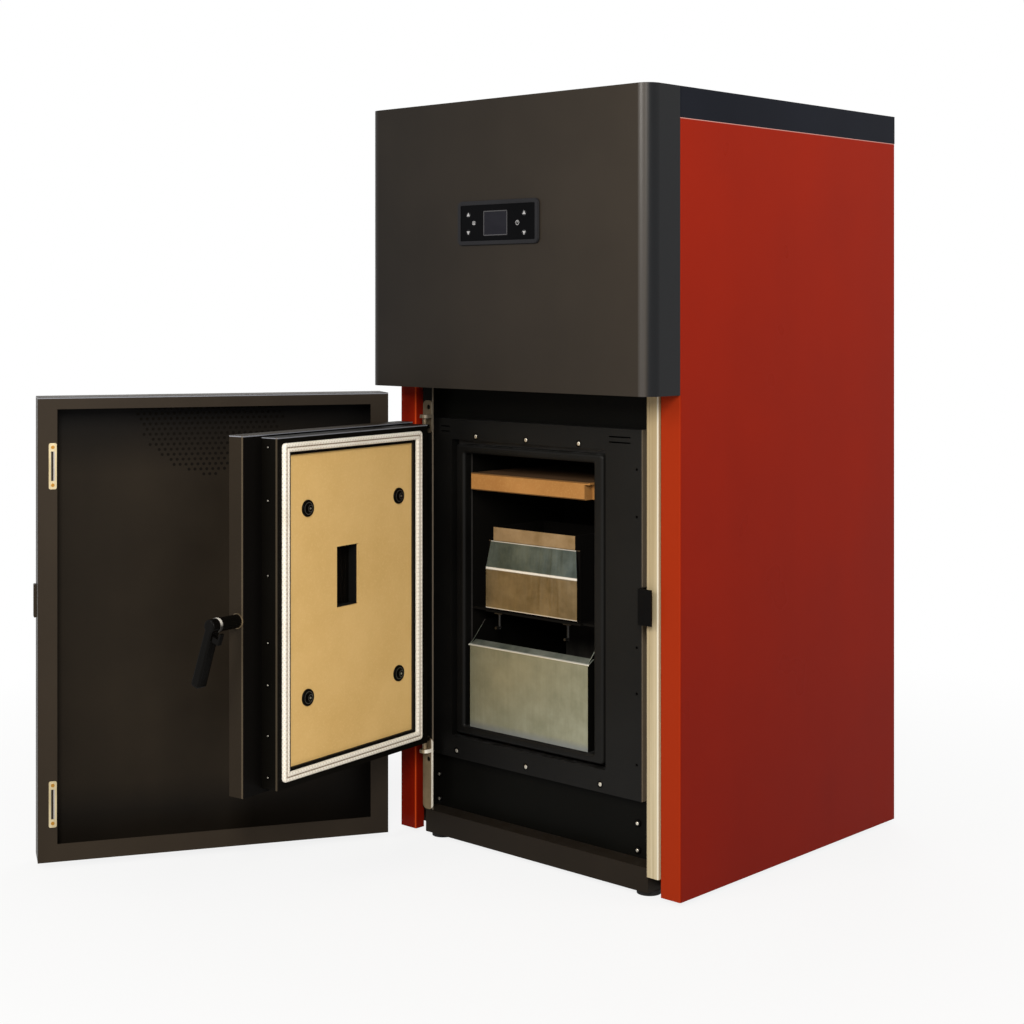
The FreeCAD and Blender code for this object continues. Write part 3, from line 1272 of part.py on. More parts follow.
def inner_pan():
    """The front pan of the inner door, with its hinge tabs."""
    t = DOOR_SHEET
    pan = box(BOX_HINGE, PAN_FREE, PAN_FRONT, PAN_BACK, PAN_LOW, PAN_HIGH)
    pan = pan.makeFillet(PAN_BEND, edges_where(pan, upright_at(PAN_FREE, PAN_FRONT)))
    pan = pan.makeFillet(PAN_ROUND, edges_where(pan, upright_at(BOX_HINGE, PAN_FRONT)))
    hollow = box(
        BOX_HINGE + t, PAN_FREE - t, PAN_FRONT + t, PAN_BACK, PAN_LOW + t, PAN_HIGH - t
    )
    corner = upright_at(BOX_HINGE + t, PAN_FRONT + t)
    pan = pan.cut(hollow.makeFillet(PAN_ROUND - t, edges_where(hollow, corner)))
    ledge = box(BOX_FREE - LEDGE_LAP, PAN_FREE, PAN_BACK - t, PAN_BACK, PAN_LOW, PAN_HIGH)
    parts = [pan, ledge]
    x, y = INNER_PIVOT.x, INNER_PIVOT.y
    tabs = (PAN_LOW + TAB_INSET, PAN_HIGH - TAB_INSET - TAB_THICK)
    for z in tabs:
        tab = along_z(INNER_LUG_R, x, y, z, z + TAB_THICK)
        arm = [
            V(x - 6.5, y - 6.5, z),
            V(x + 7, y + 5.5, z),
            V(BOX_HINGE + 1, PAN_BACK - 4, z),
            V(BOX_HINGE + 1, PAN_BACK - 24, z),
        ]
        parts.append(tab.fuse(prism(arm, V(0, 0, TAB_THICK))))
    pan = fuse(parts)
    for z in tabs:
        pan = pan.cut(along_z(INNER_PIN_R + RUN, x, y, z - 1, z + TAB_THICK + 1))
    spindle = along_x(SPINDLE_R + RUN, PAN_FREE - 5, PAN_FREE + 1, HANDLE_Y, HANDLE_Z)
    pan = pan.cut(spindle)
    return pan.cut(sight_cut(PAN_FRONT - 1, PAN_FRONT + t + 1))


def sight_cut(y0, y1):
    return box(SIGHT_LEFT, SIGHT_RIGHT, y0, y1, SIGHT_LOW, SIGHT_HIGH)


def inner_casing():
    """The casing behind the pan that holds the board, the gasket and the rivets."""
    t = DOOR_SHEET
    back = GASKET_FACE - GASKET_THICK
    case = box(BOX_HINGE, BOX_FREE, PAN_BACK, back, BOX_LOW, BOX_HIGH)
    case = case.makeFillet(t, edges_where(case, upright_at(BOX_FREE, back)))
    case = case.cut(
        box(BOX_HINGE + t, BOX_FREE - t, PAN_BACK + t, back - t, BOX_LOW + t, BOX_HIGH - t)
    )
    half, low, high = BOARD_HALF + FIT, BOARD_LOW - FIT, BOARD_HIGH + FIT
    case = case.cut(box(FIRE_X - half, FIRE_X + half, back - t, back, low, high))
    case = case.cut(sight_cut(PAN_BACK - 1, PAN_BACK + t + 1))
    for z in RIVET_Z:
        case = case.cut(along_x(RIVET_SHANK, BOX_FREE - t, BOX_FREE, RIVET_Y, z))
    return case


def casing_rivets():
    rivets = []
    for z in RIVET_Z:
        dome = along_x(RIVET_R, BOX_FREE, BOX_FREE + RIVET_HEAD, RIVET_Y, z)
        shank = along_x(RIVET_SHANK, BOX_FREE - DOOR_SHEET, BOX_FREE, RIVET_Y, z)
        rivets.append(dome.fuse(shank))
    return Part.makeCompound(rivets)


def door_gasket():
    """A flat rope seal with the print of the sealing edge along its middle."""
    x0, x1 = FIRE_X - GASKET_HALF, FIRE_X + GASKET_HALF
    w, y0, y1 = GASKET_WIDTH, GASKET_FACE - GASKET_THICK, GASKET_FACE
    ring = rounded_block(x0, x1, y0, y1, GASKET_LOW, GASKET_HIGH, 6)
    hole = rounded_block(x0 + w, x1 - w, y0, y1, GASKET_LOW + w, GASKET_HIGH - w, 2)
    low, high, deep = GASKET_LOW, GASKET_HIGH, y1 - PRINT_DEEP
    m, n = w / 2 - PRINT_HALF, w / 2 + PRINT_HALF
    print_out = rounded_block(x0 + m, x1 - m, deep, y1, low + m, high - m, 3)
    print_in = rounded_block(x0 + n, x1 - n, deep, y1, low + n, high - n, 2)
    ring = ring.cut(hole)
    ring = ring.makeFillet(3, edges_where(ring, lying_at_y(y1)))
    return ring.cut(print_out.cut(print_in))


def door_board():
    x0, x1 = FIRE_X - BOARD_HALF, FIRE_X + BOARD_HALF
    board = box(x0, x1, BOARD_FACE - BOARD_THICK, BOARD_FACE, BOARD_LOW, BOARD_HIGH)
    board = board.cut(sight_cut(BOARD_FACE - BOARD_THICK - 1, BOARD_FACE + 1))
    for x in WASHER_X:
        for z in WASHER_Z:
            hole = along_y(BOLT_R + FIT, x, BOARD_FACE - BOARD_THICK, BOARD_FACE, z)
            board = board.cut(hole)
    return board


def board_bolts():
    bolts = []
    low = PAN_BACK + DOOR_SHEET
    for x in WASHER_X:
        for z in WASHER_Z:
            y = BOARD_FACE + WASHER_THICK
            washer = along_y(WASHER_R, x, BOARD_FACE, y, z)
            washer = washer.makeFillet(WASHER_THICK / 2, edges_where(washer, lying_at_y(y)))
            head = along_y(BOLT_HEAD_R, x, y, y + BOLT_HEAD, z)
            socket = along_y(BOLT_SOCKET_R, x, y + 1, y + BOLT_HEAD, z)
            shank = along_y(BOLT_R, x, low, BOARD_FACE, z)
            bolts.append(fuse([washer, head, shank]).cut(socket))
    return Part.makeCompound(bolts)


def sight_glass():
    """The pane over the sight opening, held between the pan and the casing."""
    g, y = PANE_LAP, PAN_BACK - PANE_THICK
    return box(SIGHT_LEFT - g, SIGHT_RIGHT + g, y, PAN_BACK, SIGHT_LOW - g, SIGHT_HIGH + g)


def handle_lever():
    """The black handle, its hub and the cam finger that hooks behind the catch."""
    y, z = HANDLE_Y, HANDLE_Z
    hub = along_x(HUB_R, PAN_FREE + PART_GAP, HUB_END, y, z)
    hub = hub.makeFillet(2.5, edges_where(hub, lambda e: abs(e.BoundBox.XMin - HUB_END) < 0.01))
    spindle = along_x(SPINDLE_R, PAN_FREE - 14, PAN_FREE + 2, y, z)
    x, end = HUB_END - LEVER_WIDE, z - LEVER_LONG
    (front, back), (tip_front, tip_back) = LEVER_ROOT, LEVER_TIP
    taper = [V(x, y + front, z), V(x, y + back, z), V(x, y + tip_back, end), V(x, y + tip_front, end)]
    lever = prism(taper, V(LEVER_WIDE, 0, 0))
    tip = edges_where(lever, lambda e: e.BoundBox.ZMax < end + 0.1 and e.BoundBox.XLength > 1)
    lever = lever.makeFillet(LEVER_TIP_ROUND, tip)
    sides = edges_where(lever, lambda e: e.BoundBox.XLength < 0.1 and e.BoundBox.ZMax < z)
    lever = lever.makeFillet(LEVER_ROUND, sides)
    x0, x1, under = HUB_END - 12, HUB_END - 4, CATCH_LOW - 4
    low, back = under - 9, y + HOOK_BACK
    root = box(x0, x1, y - 4, y + 8, low, z)
    stem = box(x0, x1, y, back, low, under)
    hook = box(x0, x1, back - HOOK_TIP, back, low, CATCH_LOW + 6)
    handle = fuse([hub, spindle, lever, root, stem, hook])
    end = COLLAR_X + COLLAR_LONG
    groove = along_x(HUB_R + 1, COLLAR_X, end, y, z)
    return handle.cut(groove).fuse(along_x(COLLAR_CORE_R, COLLAR_X, end, y, z))


def handle_collar():
    y, z = HANDLE_Y, HANDLE_Z
    ring = along_x(HUB_R + 0.6, COLLAR_X, COLLAR_X + COLLAR_LONG, y, z)
    return ring.cut(along_x(COLLAR_CORE_R, COLLAR_X, COLLAR_X + COLLAR_LONG, y, z))


def handle_open(shape):
    tilted = shape.copy()
    tilted.rotate(V(0, HANDLE_Y, HANDLE_Z), V(1, 0, 0), -LEVER_TILT)
    return inner_open(tilted)


# Outer door, drawn shut and then swung open


def outer_skin():
    """The folded front of the outer door with its rims and hinge knuckles."""
    t = SHEET
    front, back = -COWL_PROUD, OUTER_BACK
    h = OUTER_HALF
    pan = box(-h, h, front, back, OUTER_LOW, OUTER_HIGH)
    for x in (-h, h):
        pan = pan.makeFillet(OUTER_BEND, edges_where(pan, upright_at(x, front)))
    pan = pan.cut(box(t - h, h - t, front + t, back - t, OUTER_LOW + t, OUTER_HIGH - t))
    side, low, high = h - RIM_SIDE, OUTER_LOW + RIM_LOW, OUTER_HIGH - RIM_TOP
    pan = pan.cut(box(-side, side, back - t, back, low, high))
    parts = [pan]
    x, y = OUTER_PIVOT.x, OUTER_PIVOT.y
    for z in HINGE_Z:
        z0, z1 = z + PART_GAP, z + KNUCKLE_LONG
        parts.append(along_z(BARREL_R, x, y, z0, z1))
        parts.append(box(x + 2, -h, y - BARREL_R, y + BARREL_R, z0, z1))
    skin = fuse(parts)
    for z in HINGE_Z:
        skin = skin.cut(along_z(BARREL_PIN_R + RUN, x, y, z, z + KNUCKLE_LONG))
    return skin


def outer_liner():
    """The flat sheet inside the outer door, folded up a little at its edges."""
    t = SHEET
    y0 = -COWL_PROUD + t
    g, y1 = t + LINER_GAP, y0 + LINER_FOLD
    side, z0, z1 = OUTER_HALF - g, OUTER_LOW + g, OUTER_HIGH - g
    liner = box(-side, side, y0, y1, z0, z1)
    return liner.cut(box(t - side, side - t, y0 + t, y1, z0 + t, z1 - t))


def door_magnets():
    plates = []
    for z in MAGNET_Z:
        x0, x1, y = MAGNET_X - MAGNET_HALF, MAGNET_X + MAGNET_HALF, OUTER_BACK
        z0, z1 = z - MAGNET_LONG / 2, z + MAGNET_LONG / 2
        plate = rounded_block(x0, x1, y, y + 1, z0, z1, 3)
        plate = plate.cut(box(MAGNET_X - 1.2, MAGNET_X + 1.2, y - 1, y + 2, z0 + 14, z1 - 14))
        for zs in (z0 + 7, z1 - 7):
            plate = plate.fuse(along_y(3, MAGNET_X, y, y + 1.5, zs))
        plates.append(plate)
    return Part.makeCompound(plates)


def outer_hinges():
    """Two brackets on the left side panel, each with a knuckle and its pin."""
    x, y = OUTER_PIVOT.x, OUTER_PIVOT.y
    hinges = []
    for z in HINGE_Z:
        low = z - KNUCKLE_LONG
        knuckle = along_z(BARREL_R, x, y, low, z)
        pin = along_z(BARREL_PIN_R, x, y, low, z + KNUCKLE_LONG - 2)
        left = x - BARREL_R
        arm = box(left, left + HINGE_PLATE, y, 0, low, z)
        foot = box(left, x + HINGE_FOOT, -2, 0, low, z)
        hinges.append(fuse([knuckle, pin, arm, foot]))
    return Part.makeCompound(hinges)


def door_pull():
    """A slim pull on the free edge of the outer door."""
    x, y = OUTER_HALF, PULL_FRONT - COWL_PROUD
    pull = box(x, x + PULL_PROUD, y, y + PULL_WIDE, PULL_LOW, PULL_HIGH)
    return pull.makeFillet(1.5, edges_where(pull, lambda e: e.BoundBox.YLength > 10))


def main():
    os.makedirs("parts", exist_ok=True)
    save(base_frame(), "base_frame")
    save(levelling_feet(), "levelling_feet")
    save(side_panel(-1), "side_panel_left")
    save(side_panel(1), "side_panel_right")
    save(back_panel(), "back_panel")
    save(top_cover(), "top_cover")
    save(hopper_lid(), "hopper_lid")
    save(front_cowl(), "front_cowl")
    save(control_panel(), "control_panel")
    save(control_screen(), "control_screen")
    for name, x, z in KEYS:
        save(control_key(x, z), name)
    save(front_shield(), "front_shield")
    save(door_frame(), "door_frame")
    save(neck_collar(), "neck_collar")
    save(front_screws(), "front_screws")
    save(left_jamb(), "left_jamb")
    save(right_jamb(), "right_jamb")
    save(inner_hinges(), "inner_hinges")
    save(latch_catch(), "latch_catch")
    save(boiler_body(), "boiler_body")
    save(firebox(), "firebox")
    save(fire_tubes(), "fire_tubes")
    save(baffle_board(), "baffle_board")
    save(burner_pot(), "burner_pot")
    save(igniter(), "igniter")
    save(burner_cover(), "burner_cover")
    save(shelf_hooks(), "shelf_hooks")
    save(ash_drawer(), "ash_drawer")
    save(hopper(), "hopper")
    save(auger_tube(), "auger_tube")
    save(auger_screw(), "auger_screw")
    save(auger_motor(), "auger_motor")
    save(feed_chute(), "feed_chute")
    save(fan_housing(), "fan_housing")
    save(fan_wheel(), "fan_wheel")
    save(fan_motor(), "fan_motor")
    save(flue_spigot(), "flue_spigot")
    save(water_pipe(SUPPLY_Z), "supply_pipe")
    save(water_pipe(RETURN_Z), "return_pipe")
    save(power_inlet(), "power_inlet")
    save(mains_rocker(), "mains_rocker")
    save(inner_open(inner_pan()), "inner_pan")
    save(inner_open(inner_casing()), "inner_casing")
    save(inner_open(casing_rivets()), "casing_rivets")
    save(inner_open(door_gasket()), "door_gasket")
    save(inner_open(door_board()), "door_board")
    save(inner_open(board_bolts()), "board_bolts")
    save(inner_open(sight_glass()), "sight_glass")
    save(handle_open(handle_lever()), "handle_lever")
    save(handle_open(handle_collar()), "handle_collar")
    save(outer_open(outer_skin()), "outer_skin")
    save(outer_open(outer_liner()), "outer_liner")
    save(outer_open(door_magnets()), "door_magnets")
    save(outer_hinges(), "outer_hinges")
    save(outer_open(door_pull()), "door_pull")


main()
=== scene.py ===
import json
import math

import bmesh
import bpy
from mathutils import Matrix, Vector


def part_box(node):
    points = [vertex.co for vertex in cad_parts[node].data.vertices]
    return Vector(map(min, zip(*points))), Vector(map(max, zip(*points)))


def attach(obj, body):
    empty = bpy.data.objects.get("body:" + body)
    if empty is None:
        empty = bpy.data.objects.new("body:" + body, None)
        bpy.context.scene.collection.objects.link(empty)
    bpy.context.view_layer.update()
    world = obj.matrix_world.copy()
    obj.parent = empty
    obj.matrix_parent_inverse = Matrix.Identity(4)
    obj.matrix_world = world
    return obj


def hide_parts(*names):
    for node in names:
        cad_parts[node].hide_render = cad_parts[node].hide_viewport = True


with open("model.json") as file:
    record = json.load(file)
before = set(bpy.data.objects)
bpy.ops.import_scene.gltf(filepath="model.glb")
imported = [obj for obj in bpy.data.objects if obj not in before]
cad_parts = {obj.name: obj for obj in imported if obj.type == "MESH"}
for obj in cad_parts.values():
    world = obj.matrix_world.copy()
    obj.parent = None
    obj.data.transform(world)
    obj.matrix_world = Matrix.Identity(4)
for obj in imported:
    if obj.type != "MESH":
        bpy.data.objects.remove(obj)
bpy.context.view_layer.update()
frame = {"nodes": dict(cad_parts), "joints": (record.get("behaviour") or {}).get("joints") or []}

NODES = frame["nodes"]
JOINTS = {joint["name"]: joint for joint in frame["joints"]}
X, Y, Z = 0, 1, 2

# Places on the solids, in metres, with both doors shut

FIRE_X = -0.028
FRAME_FACE, FRAME_EDGE = 0.018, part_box("door_frame")[1].x
SHIELD_FACE = 0.0326
PANEL_FACE, KEY_FACE = -0.080, -0.081
LINER_FACE = -0.074
GASKET_SEAT, GASKET_FACE = 0.0115, 0.0175
COVER_LOW, COVER_FOLD, COVER_TOP = 0.420, 0.490, 0.538
DRAWER_LOW, DRAWER_LIP, DRAWER_INSIDE = 0.2065, 0.352, 0.05
POT_BACK = 0.05
RED_TOP, RETURN_EDGE = 1.25, -0.280
PAN_BACK, PAN_FREE, PAN_TOP = -0.022, 0.207, 0.745
CASING_FREE, CASING_TOP = 0.164, 0.741
OUTER_TOP = 0.797
JAMB_EDGE = -0.240
HINGE_EDGE, HINGE_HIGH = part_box("inner_hinges")[1].x, 0.45
STRIP_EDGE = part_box("right_jamb")[1].x
BOARD_FACE = 0.0075
STRIKE_X, STRIKE_FACE, STRIKE_HEIGHTS = 0.2785, -0.007, (0.110, 0.681)
STRIKE_SLOT_HALF = 0.025
ROPE_WIDE = 0.0145


def hung(joint_name):
    """Turns a piece drawn on a shut door to where the open door holds it."""
    joint = JOINTS[joint_name]
    pivot = Vector(joint["pos_m"])
    swing = Matrix.Rotation(-math.radians(joint["range_deg"][1]), 4, "Z")
    return Matrix.Translation(pivot) @ swing @ Matrix.Translation(-pivot)


ON_INNER_DOOR, ON_OUTER_DOOR = hung("inner_door_swing"), hung("outer_door_swing")

# Shader helpers


def add(tree, kind, **settings):
    node = tree.nodes.new("ShaderNode" + kind)
    for name, value in settings.items():
        setattr(node, name, value)
    return node


def feed(tree, socket, value):
    """Links an output, or sets a plain value."""
    if isinstance(value, bpy.types.NodeSocket):
        tree.links.new(value, socket)
    else:
        socket.default_value = value


def calc(tree, operation, first, second=0.0, third=0.0):
    node = add(tree, "Math", operation=operation)
    for socket, value in zip(node.inputs, (first, second, third)):
        feed(tree, socket, value)
    return node.outputs[0]


def shares(tree, first, part, second, rest):
    """Adds a part of one value to a part of another."""
    return calc(tree, "MULTIPLY_ADD", first, part, calc(tree, "MULTIPLY", second, rest))


def spread(tree, value, low, high, start=0.0, end=1.0):
    """Turns the span from start to end into the span from low to high, held at both ends."""
    node = add(tree, "MapRange")
    feed(tree, node.inputs["Value"], value)
    for name, number in (("From Min", start), ("From Max", end), ("To Min", low), ("To Max", high)):
        node.inputs[name].default_value = number
    return node.outputs[0]


def two_tone(tree, mask, first, second):
    """The first tone where the mask is 0 and the second where it is 1."""
    node = add(tree, "Mix", data_type="RGBA")
    feed(tree, node.inputs[0], mask)
    for socket, tone in zip(node.inputs[6:8], (first, second)):
        feed(tree, socket, tone if isinstance(tone, bpy.types.NodeSocket) else (*tone, 1))
    return node.outputs[2]


def stretched(tree, vector, scale, turn=(0, 0, 0)):
    node = add(tree, "Mapping")
    feed(tree, node.inputs["Vector"], vector)
    node.inputs["Scale"].default_value = scale
    node.inputs["Rotation"].default_value = turn
    return node.outputs[0]


def noise(tree, vector, scale, detail=2.0, rough=0.5):
    node = add(tree, "TexNoise")
    feed(tree, node.inputs["Vector"], vector)
    feed(tree, node.inputs["Scale"], scale)
    node.inputs["Detail"].default_value = detail
    node.inputs["Roughness"].default_value = rough
    return node.outputs[0]


def axis_of(tree, vector, axis):
    node = add(tree, "SeparateXYZ")
    feed(tree, node.inputs[0], vector)
    return node.outputs[axis]


def facing_of(tree, axis):
    """How far a face looks along one axis, from -1 to 1."""
    return axis_of(tree, add(tree, "TexCoord").outputs["Normal"], axis)


def bumped(tree, skin, height, strength, distance):
    node = add(tree, "Bump")
    feed(tree, node.inputs["Height"], height)
    node.inputs["Strength"].default_value = strength
    node.inputs["Distance"].default_value = distance
    tree.links.new(node.outputs[0], skin.inputs["Normal"])


def shut_place(tree, spot, joint_name):
    """Where a point of an open door lies when that door is shut."""
    joint = JOINTS[joint_name]
    node = add(tree, "VectorRotate", rotation_type="Z_AXIS")
    feed(tree, node.inputs["Vector"], spot)
    node.inputs["Center"].default_value = joint["pos_m"]
    node.inputs["Angle"].default_value = math.radians(joint["range_deg"][1])
    return node.outputs[0]


def away_from(tree, value, middle):
    return calc(tree, "ABSOLUTE", calc(tree, "SUBTRACT", value, middle))


def line_at(tree, value, middle, half):
    """A narrow band around one value, full in the middle and gone at its sides."""
    return spread(tree, away_from(tree, value, middle), 1.0, 0.0, 0.4 * half, half)


def effect(name, inputs, outputs, build):
    """A shared surface effect, as a node group with named sockets."""
    group = bpy.data.node_groups.new(name, "ShaderNodeTree")
    for label, kind in inputs:
        group.interface.new_socket(name=label, in_out="INPUT", socket_type="NodeSocket" + kind)
    for label in outputs:
        group.interface.new_socket(name=label, in_out="OUTPUT", socket_type="NodeSocketFloat")
    start = group.nodes.new("NodeGroupInput")
    end = group.nodes.new("NodeGroupOutput")
    results = build(group, start.outputs)
    for label, result in zip(outputs, results):
        group.links.new(result, end.inputs[label])
    return group


def place(tree, group, **values):
    """Puts a shared effect into a material and gives its outputs."""
    node = tree.nodes.new("ShaderNodeGroup")
    node.node_tree = group
    for label, value in values.items():
        feed(tree, node.inputs[label], value)
    return node.outputs


def build_coat_grain(tree, given):
    fine = noise(tree, given["Vector"], given["Scale"], 3.0, 0.6)
    cloud = noise(tree, given["Vector"], 5.0, 3.0, 0.55)
    return fine, spread(tree, cloud, 0.0, 1.0, 0.3, 0.7)


def build_rolled_lines(tree, given):
    lines = noise(tree, given["Stretched"], 1.0, 4.0, 0.65)
    patches = noise(tree, given["Vector"], 22.0, 4.0, 0.6)
    return spread(tree, lines, 0.0, 1.0, 0.3, 0.7), spread(tree, patches, 0.0, 1.0, 0.32, 0.68)


def build_soot(tree, given):
    rough = noise(tree, given["Vector"], 14.0, 6.0, 0.68)
    streak = noise(tree, stretched(tree, given["Vector"], (60, 60, 6)), 1.0, 3.0)
    level = calc(tree, "ADD", shares(tree, rough, 0.7, streak, 0.3), given["Amount"])
    return (spread(tree, level, 0.0, 1.0, 0.75, 1.25),)


def build_dust(tree, given):
    speck = noise(tree, given["Vector"], 60.0, 5.0, 0.7)
    faced = spread(tree, facing_of(tree, Z), 0.0, 1.0, 0.6, 1.0)
    return (calc(tree, "MULTIPLY", faced, spread(tree, speck, 0.0, 1.0, 0.4, 0.75)),)


PLACED = [("Vector", "Vector")]
COAT_GRAIN = effect(
    "coat_grain", PLACED + [("Scale", "Float")], ["Grain", "Cloud"], build_coat_grain
)
ROLLED_LINES = effect(
    "rolled_lines", PLACED + [("Stretched", "Vector")], ["Lines", "Patches"], build_rolled_lines
)
SOOT = effect("soot", PLACED + [("Amount", "Float")], ["Soot"], build_soot)
DUST = effect("settled_dust", PLACED, ["Dust"], build_dust)

# Kinds of finish

# Painted shade toward the edge of a recess
RECESS_SHADE_TONE = (0.0015, 0.0012, 0.001)
SHADE = (0.012, 0.01, 0.008)
# Soot together with painted shade, in these two blacks
SOOT_AND_SHADE_BLACK = (0.003, 0.0026, 0.0022)
ASH_AND_SHADE_BLACK = (0.003, 0.0028, 0.0024)
SCORCH_BROWN = (0.13, 0.07, 0.025)
# Smoke together with painted shade
SMOKE_SHADE_BROWN = (0.035, 0.018, 0.008)
# Painted shade of the sight opening's walls
OPENING_BLACK = (0.002, 0.0018, 0.0015)
# Painted shade of the upper hinge
SHADED_ZINC = (0.04, 0.034, 0.026)
# Painted highlight in the strike plates' slots
SLOT_HIGHLIGHT = (0.42, 0.39, 0.36)
SOOTED_SPECULAR = 0.04
GRAIN_DEEP = 0.0003
MOULDED_GRAIN = 1400.0


def new_finish(name):
    """A new material, its nodes, its shader and the piece's own coordinates."""
    material = bpy.data.materials.new(name)
    material.use_nodes = True
    tree = material.node_tree
    skin = tree.nodes["Principled BSDF"]
    spot = add(tree, "TexCoord").outputs["Object"]
    return material, tree, skin, spot


def dressed(tree, skin, tone, rough, specular=None, metallic=None):
    """Gives the shader its tone and shine, each as a varying value or a plain one."""
    shine = {"Roughness": rough, "Specular IOR Level": specular, "Metallic": metallic}
    feed(tree, skin.inputs["Base Color"], tone)
    for name, value in shine.items():
        if value is not None:
            feed(tree, skin.inputs[name], value)


def metal_marks(tree, spot, along):
    """Rolling lines stretched one way, and patches."""
    return place(tree, ROLLED_LINES, Vector=spot, Stretched=stretched(tree, spot, along))


def coated_sheet(
    name, deep, pale, rough, specular, grain=900.0, relief=0.25, dust=0.07,
    inner=None, front=None, light_ramp=None, edges=(), recess_shade=(), door=None, polish=0.0, mottle=1.0,
):
    """Powder-coated sheet: fine grain, slow bands of tone, painted highlight lines along edges,
    dust on top faces.

    inner is the tone of faces that look to +X, front the painted light tone of faces that look to
    -Y on the right half, light_ramp gives axis, start, end and amount of a slow change of tone that
    paints light and shade, edges gives axis, place, half width, strength and tone of painted
    highlight lines, recess_shade gives axis, start, end and amount of painted shade that darkens
    toward an end, door names the joint of a sheet whose places are those of the shut door, polish
    adds a glossy bend, mottle is how much the bands and clouds show.
    """
    material, tree, skin, spot = new_finish(name)
    coat = place(tree, COAT_GRAIN, Vector=spot, Scale=grain)
    settled = place(tree, DUST, Vector=spot)["Dust"]
    shut = spot if door is None else shut_place(tree, spot, door)
    bands = noise(tree, stretched(tree, spot, (9, 9, 0.5)), 1.0, 2.0)
    slow = shares(tree, coat["Cloud"], 0.4, bands, 0.6)
    slow = spread(tree, slow, 0.5 - 0.5 * mottle, 0.5 + 0.5 * mottle)
    # A slow ramp of tone along one axis: painted light and shade.
    if light_ramp is not None:
        axis, start, end, amount = light_ramp
        light_drift = spread(tree, axis_of(tree, shut, axis), -amount, amount, start, end)
        slow = calc(tree, "ADD", slow, light_drift)
    tone = two_tone(tree, slow, deep, pale)
    if inner is not None:
        sideways = spread(tree, facing_of(tree, X), 0.0, 1.0, 0.5, 0.7)
        tone = two_tone(tree, sideways, tone, inner)
    # Painted light: a brighter, warmer tone on the faces of the right half that look to -Y.
    if front is not None:
        ahead = spread(tree, facing_of(tree, Y), 1.0, 0.0, -0.7, -0.5)
        right_half = spread(tree, axis_of(tree, spot, X), 0.0, 1.0, 0.0, 0.1)
        tone = two_tone(tree, calc(tree, "MULTIPLY", ahead, right_half), tone, front)
    # Painted shade that darkens the sheet toward one end.
    for axis, start, end, amount in recess_shade:
        recess_dark = spread(tree, axis_of(tree, shut, axis), 0.0, amount, start, end)
        tone = two_tone(tree, recess_dark, tone, RECESS_SHADE_TONE)
    # Painted highlight lines along edges.
    for axis, middle, half, strength, lit in edges:
        line = line_at(tree, axis_of(tree, shut, axis), middle, half)
        tone = two_tone(tree, calc(tree, "MULTIPLY", line, strength), tone, lit)
    dusty = tuple(0.5 * c + 0.1 for c in pale)
    tone = two_tone(tree, calc(tree, "MULTIPLY", settled, dust), tone, dusty)
    worn = spread(tree, coat["Cloud"], rough - 0.05, rough + 0.06)
    dressed(tree, skin, tone, worn, specular)
    if polish:
        bend = line_at(tree, facing_of(tree, X), 0.3, 0.3)
        feed(tree, skin.inputs["Coat Weight"], calc(tree, "MULTIPLY", bend, polish))
        skin.inputs["Coat Roughness"].default_value = 0.3
    bumped(tree, skin, coat["Grain"], relief, GRAIN_DEEP)
    return material


def rolled_metal(name, deep, pale, rough, along, metallic=1.0, relief=0.15):
    """Sheet or cast metal with rolling lines and patches."""
    material, tree, skin, spot = new_finish(name)
    marks = metal_marks(tree, spot, along)
    both = shares(tree, marks["Lines"], 0.45, marks["Patches"], 0.55)
    worn = spread(tree, both, rough + 0.08, rough - 0.06)
    dressed(tree, skin, two_tone(tree, both, deep, pale), worn, metallic=metallic)
    bumped(tree, skin, marks["Lines"], relief, GRAIN_DEEP)
    return material


def zinc_with_painted_light(name, deep, pale, lit):
    """Yellowed zinc plate, with a painted highlight on the right edge of the lower hinge and
    painted shade that dulls the upper one.
    """
    material, tree, skin, spot = new_finish(name)
    marks = metal_marks(tree, spot, (60, 60, 12))
    above = spread(tree, axis_of(tree, spot, Z), 0.0, 1.0, HINGE_HIGH, HINGE_HIGH + 0.01)
    tone = two_tone(tree, marks["Patches"], deep, pale)
    # Painted shade: the upper hinge is dulled.
    tone = two_tone(tree, calc(tree, "MULTIPLY", above, 0.6), tone, SHADED_ZINC)
    # Painted highlight on the right edge of the lower hinge.
    edge = line_at(tree, axis_of(tree, spot, X), HINGE_EDGE, 0.004)
    edge = calc(tree, "MULTIPLY", edge, spread(tree, above, 1.0, 0.1))
    worn = spread(tree, marks["Lines"], 0.48, 0.36)
    metallic = spread(tree, edge, 0.6, 0.1)
    dressed(tree, skin, two_tone(tree, edge, tone, lit), worn, metallic=metallic)
    bumped(tree, skin, marks["Lines"], 0.15, GRAIN_DEEP)
    return material


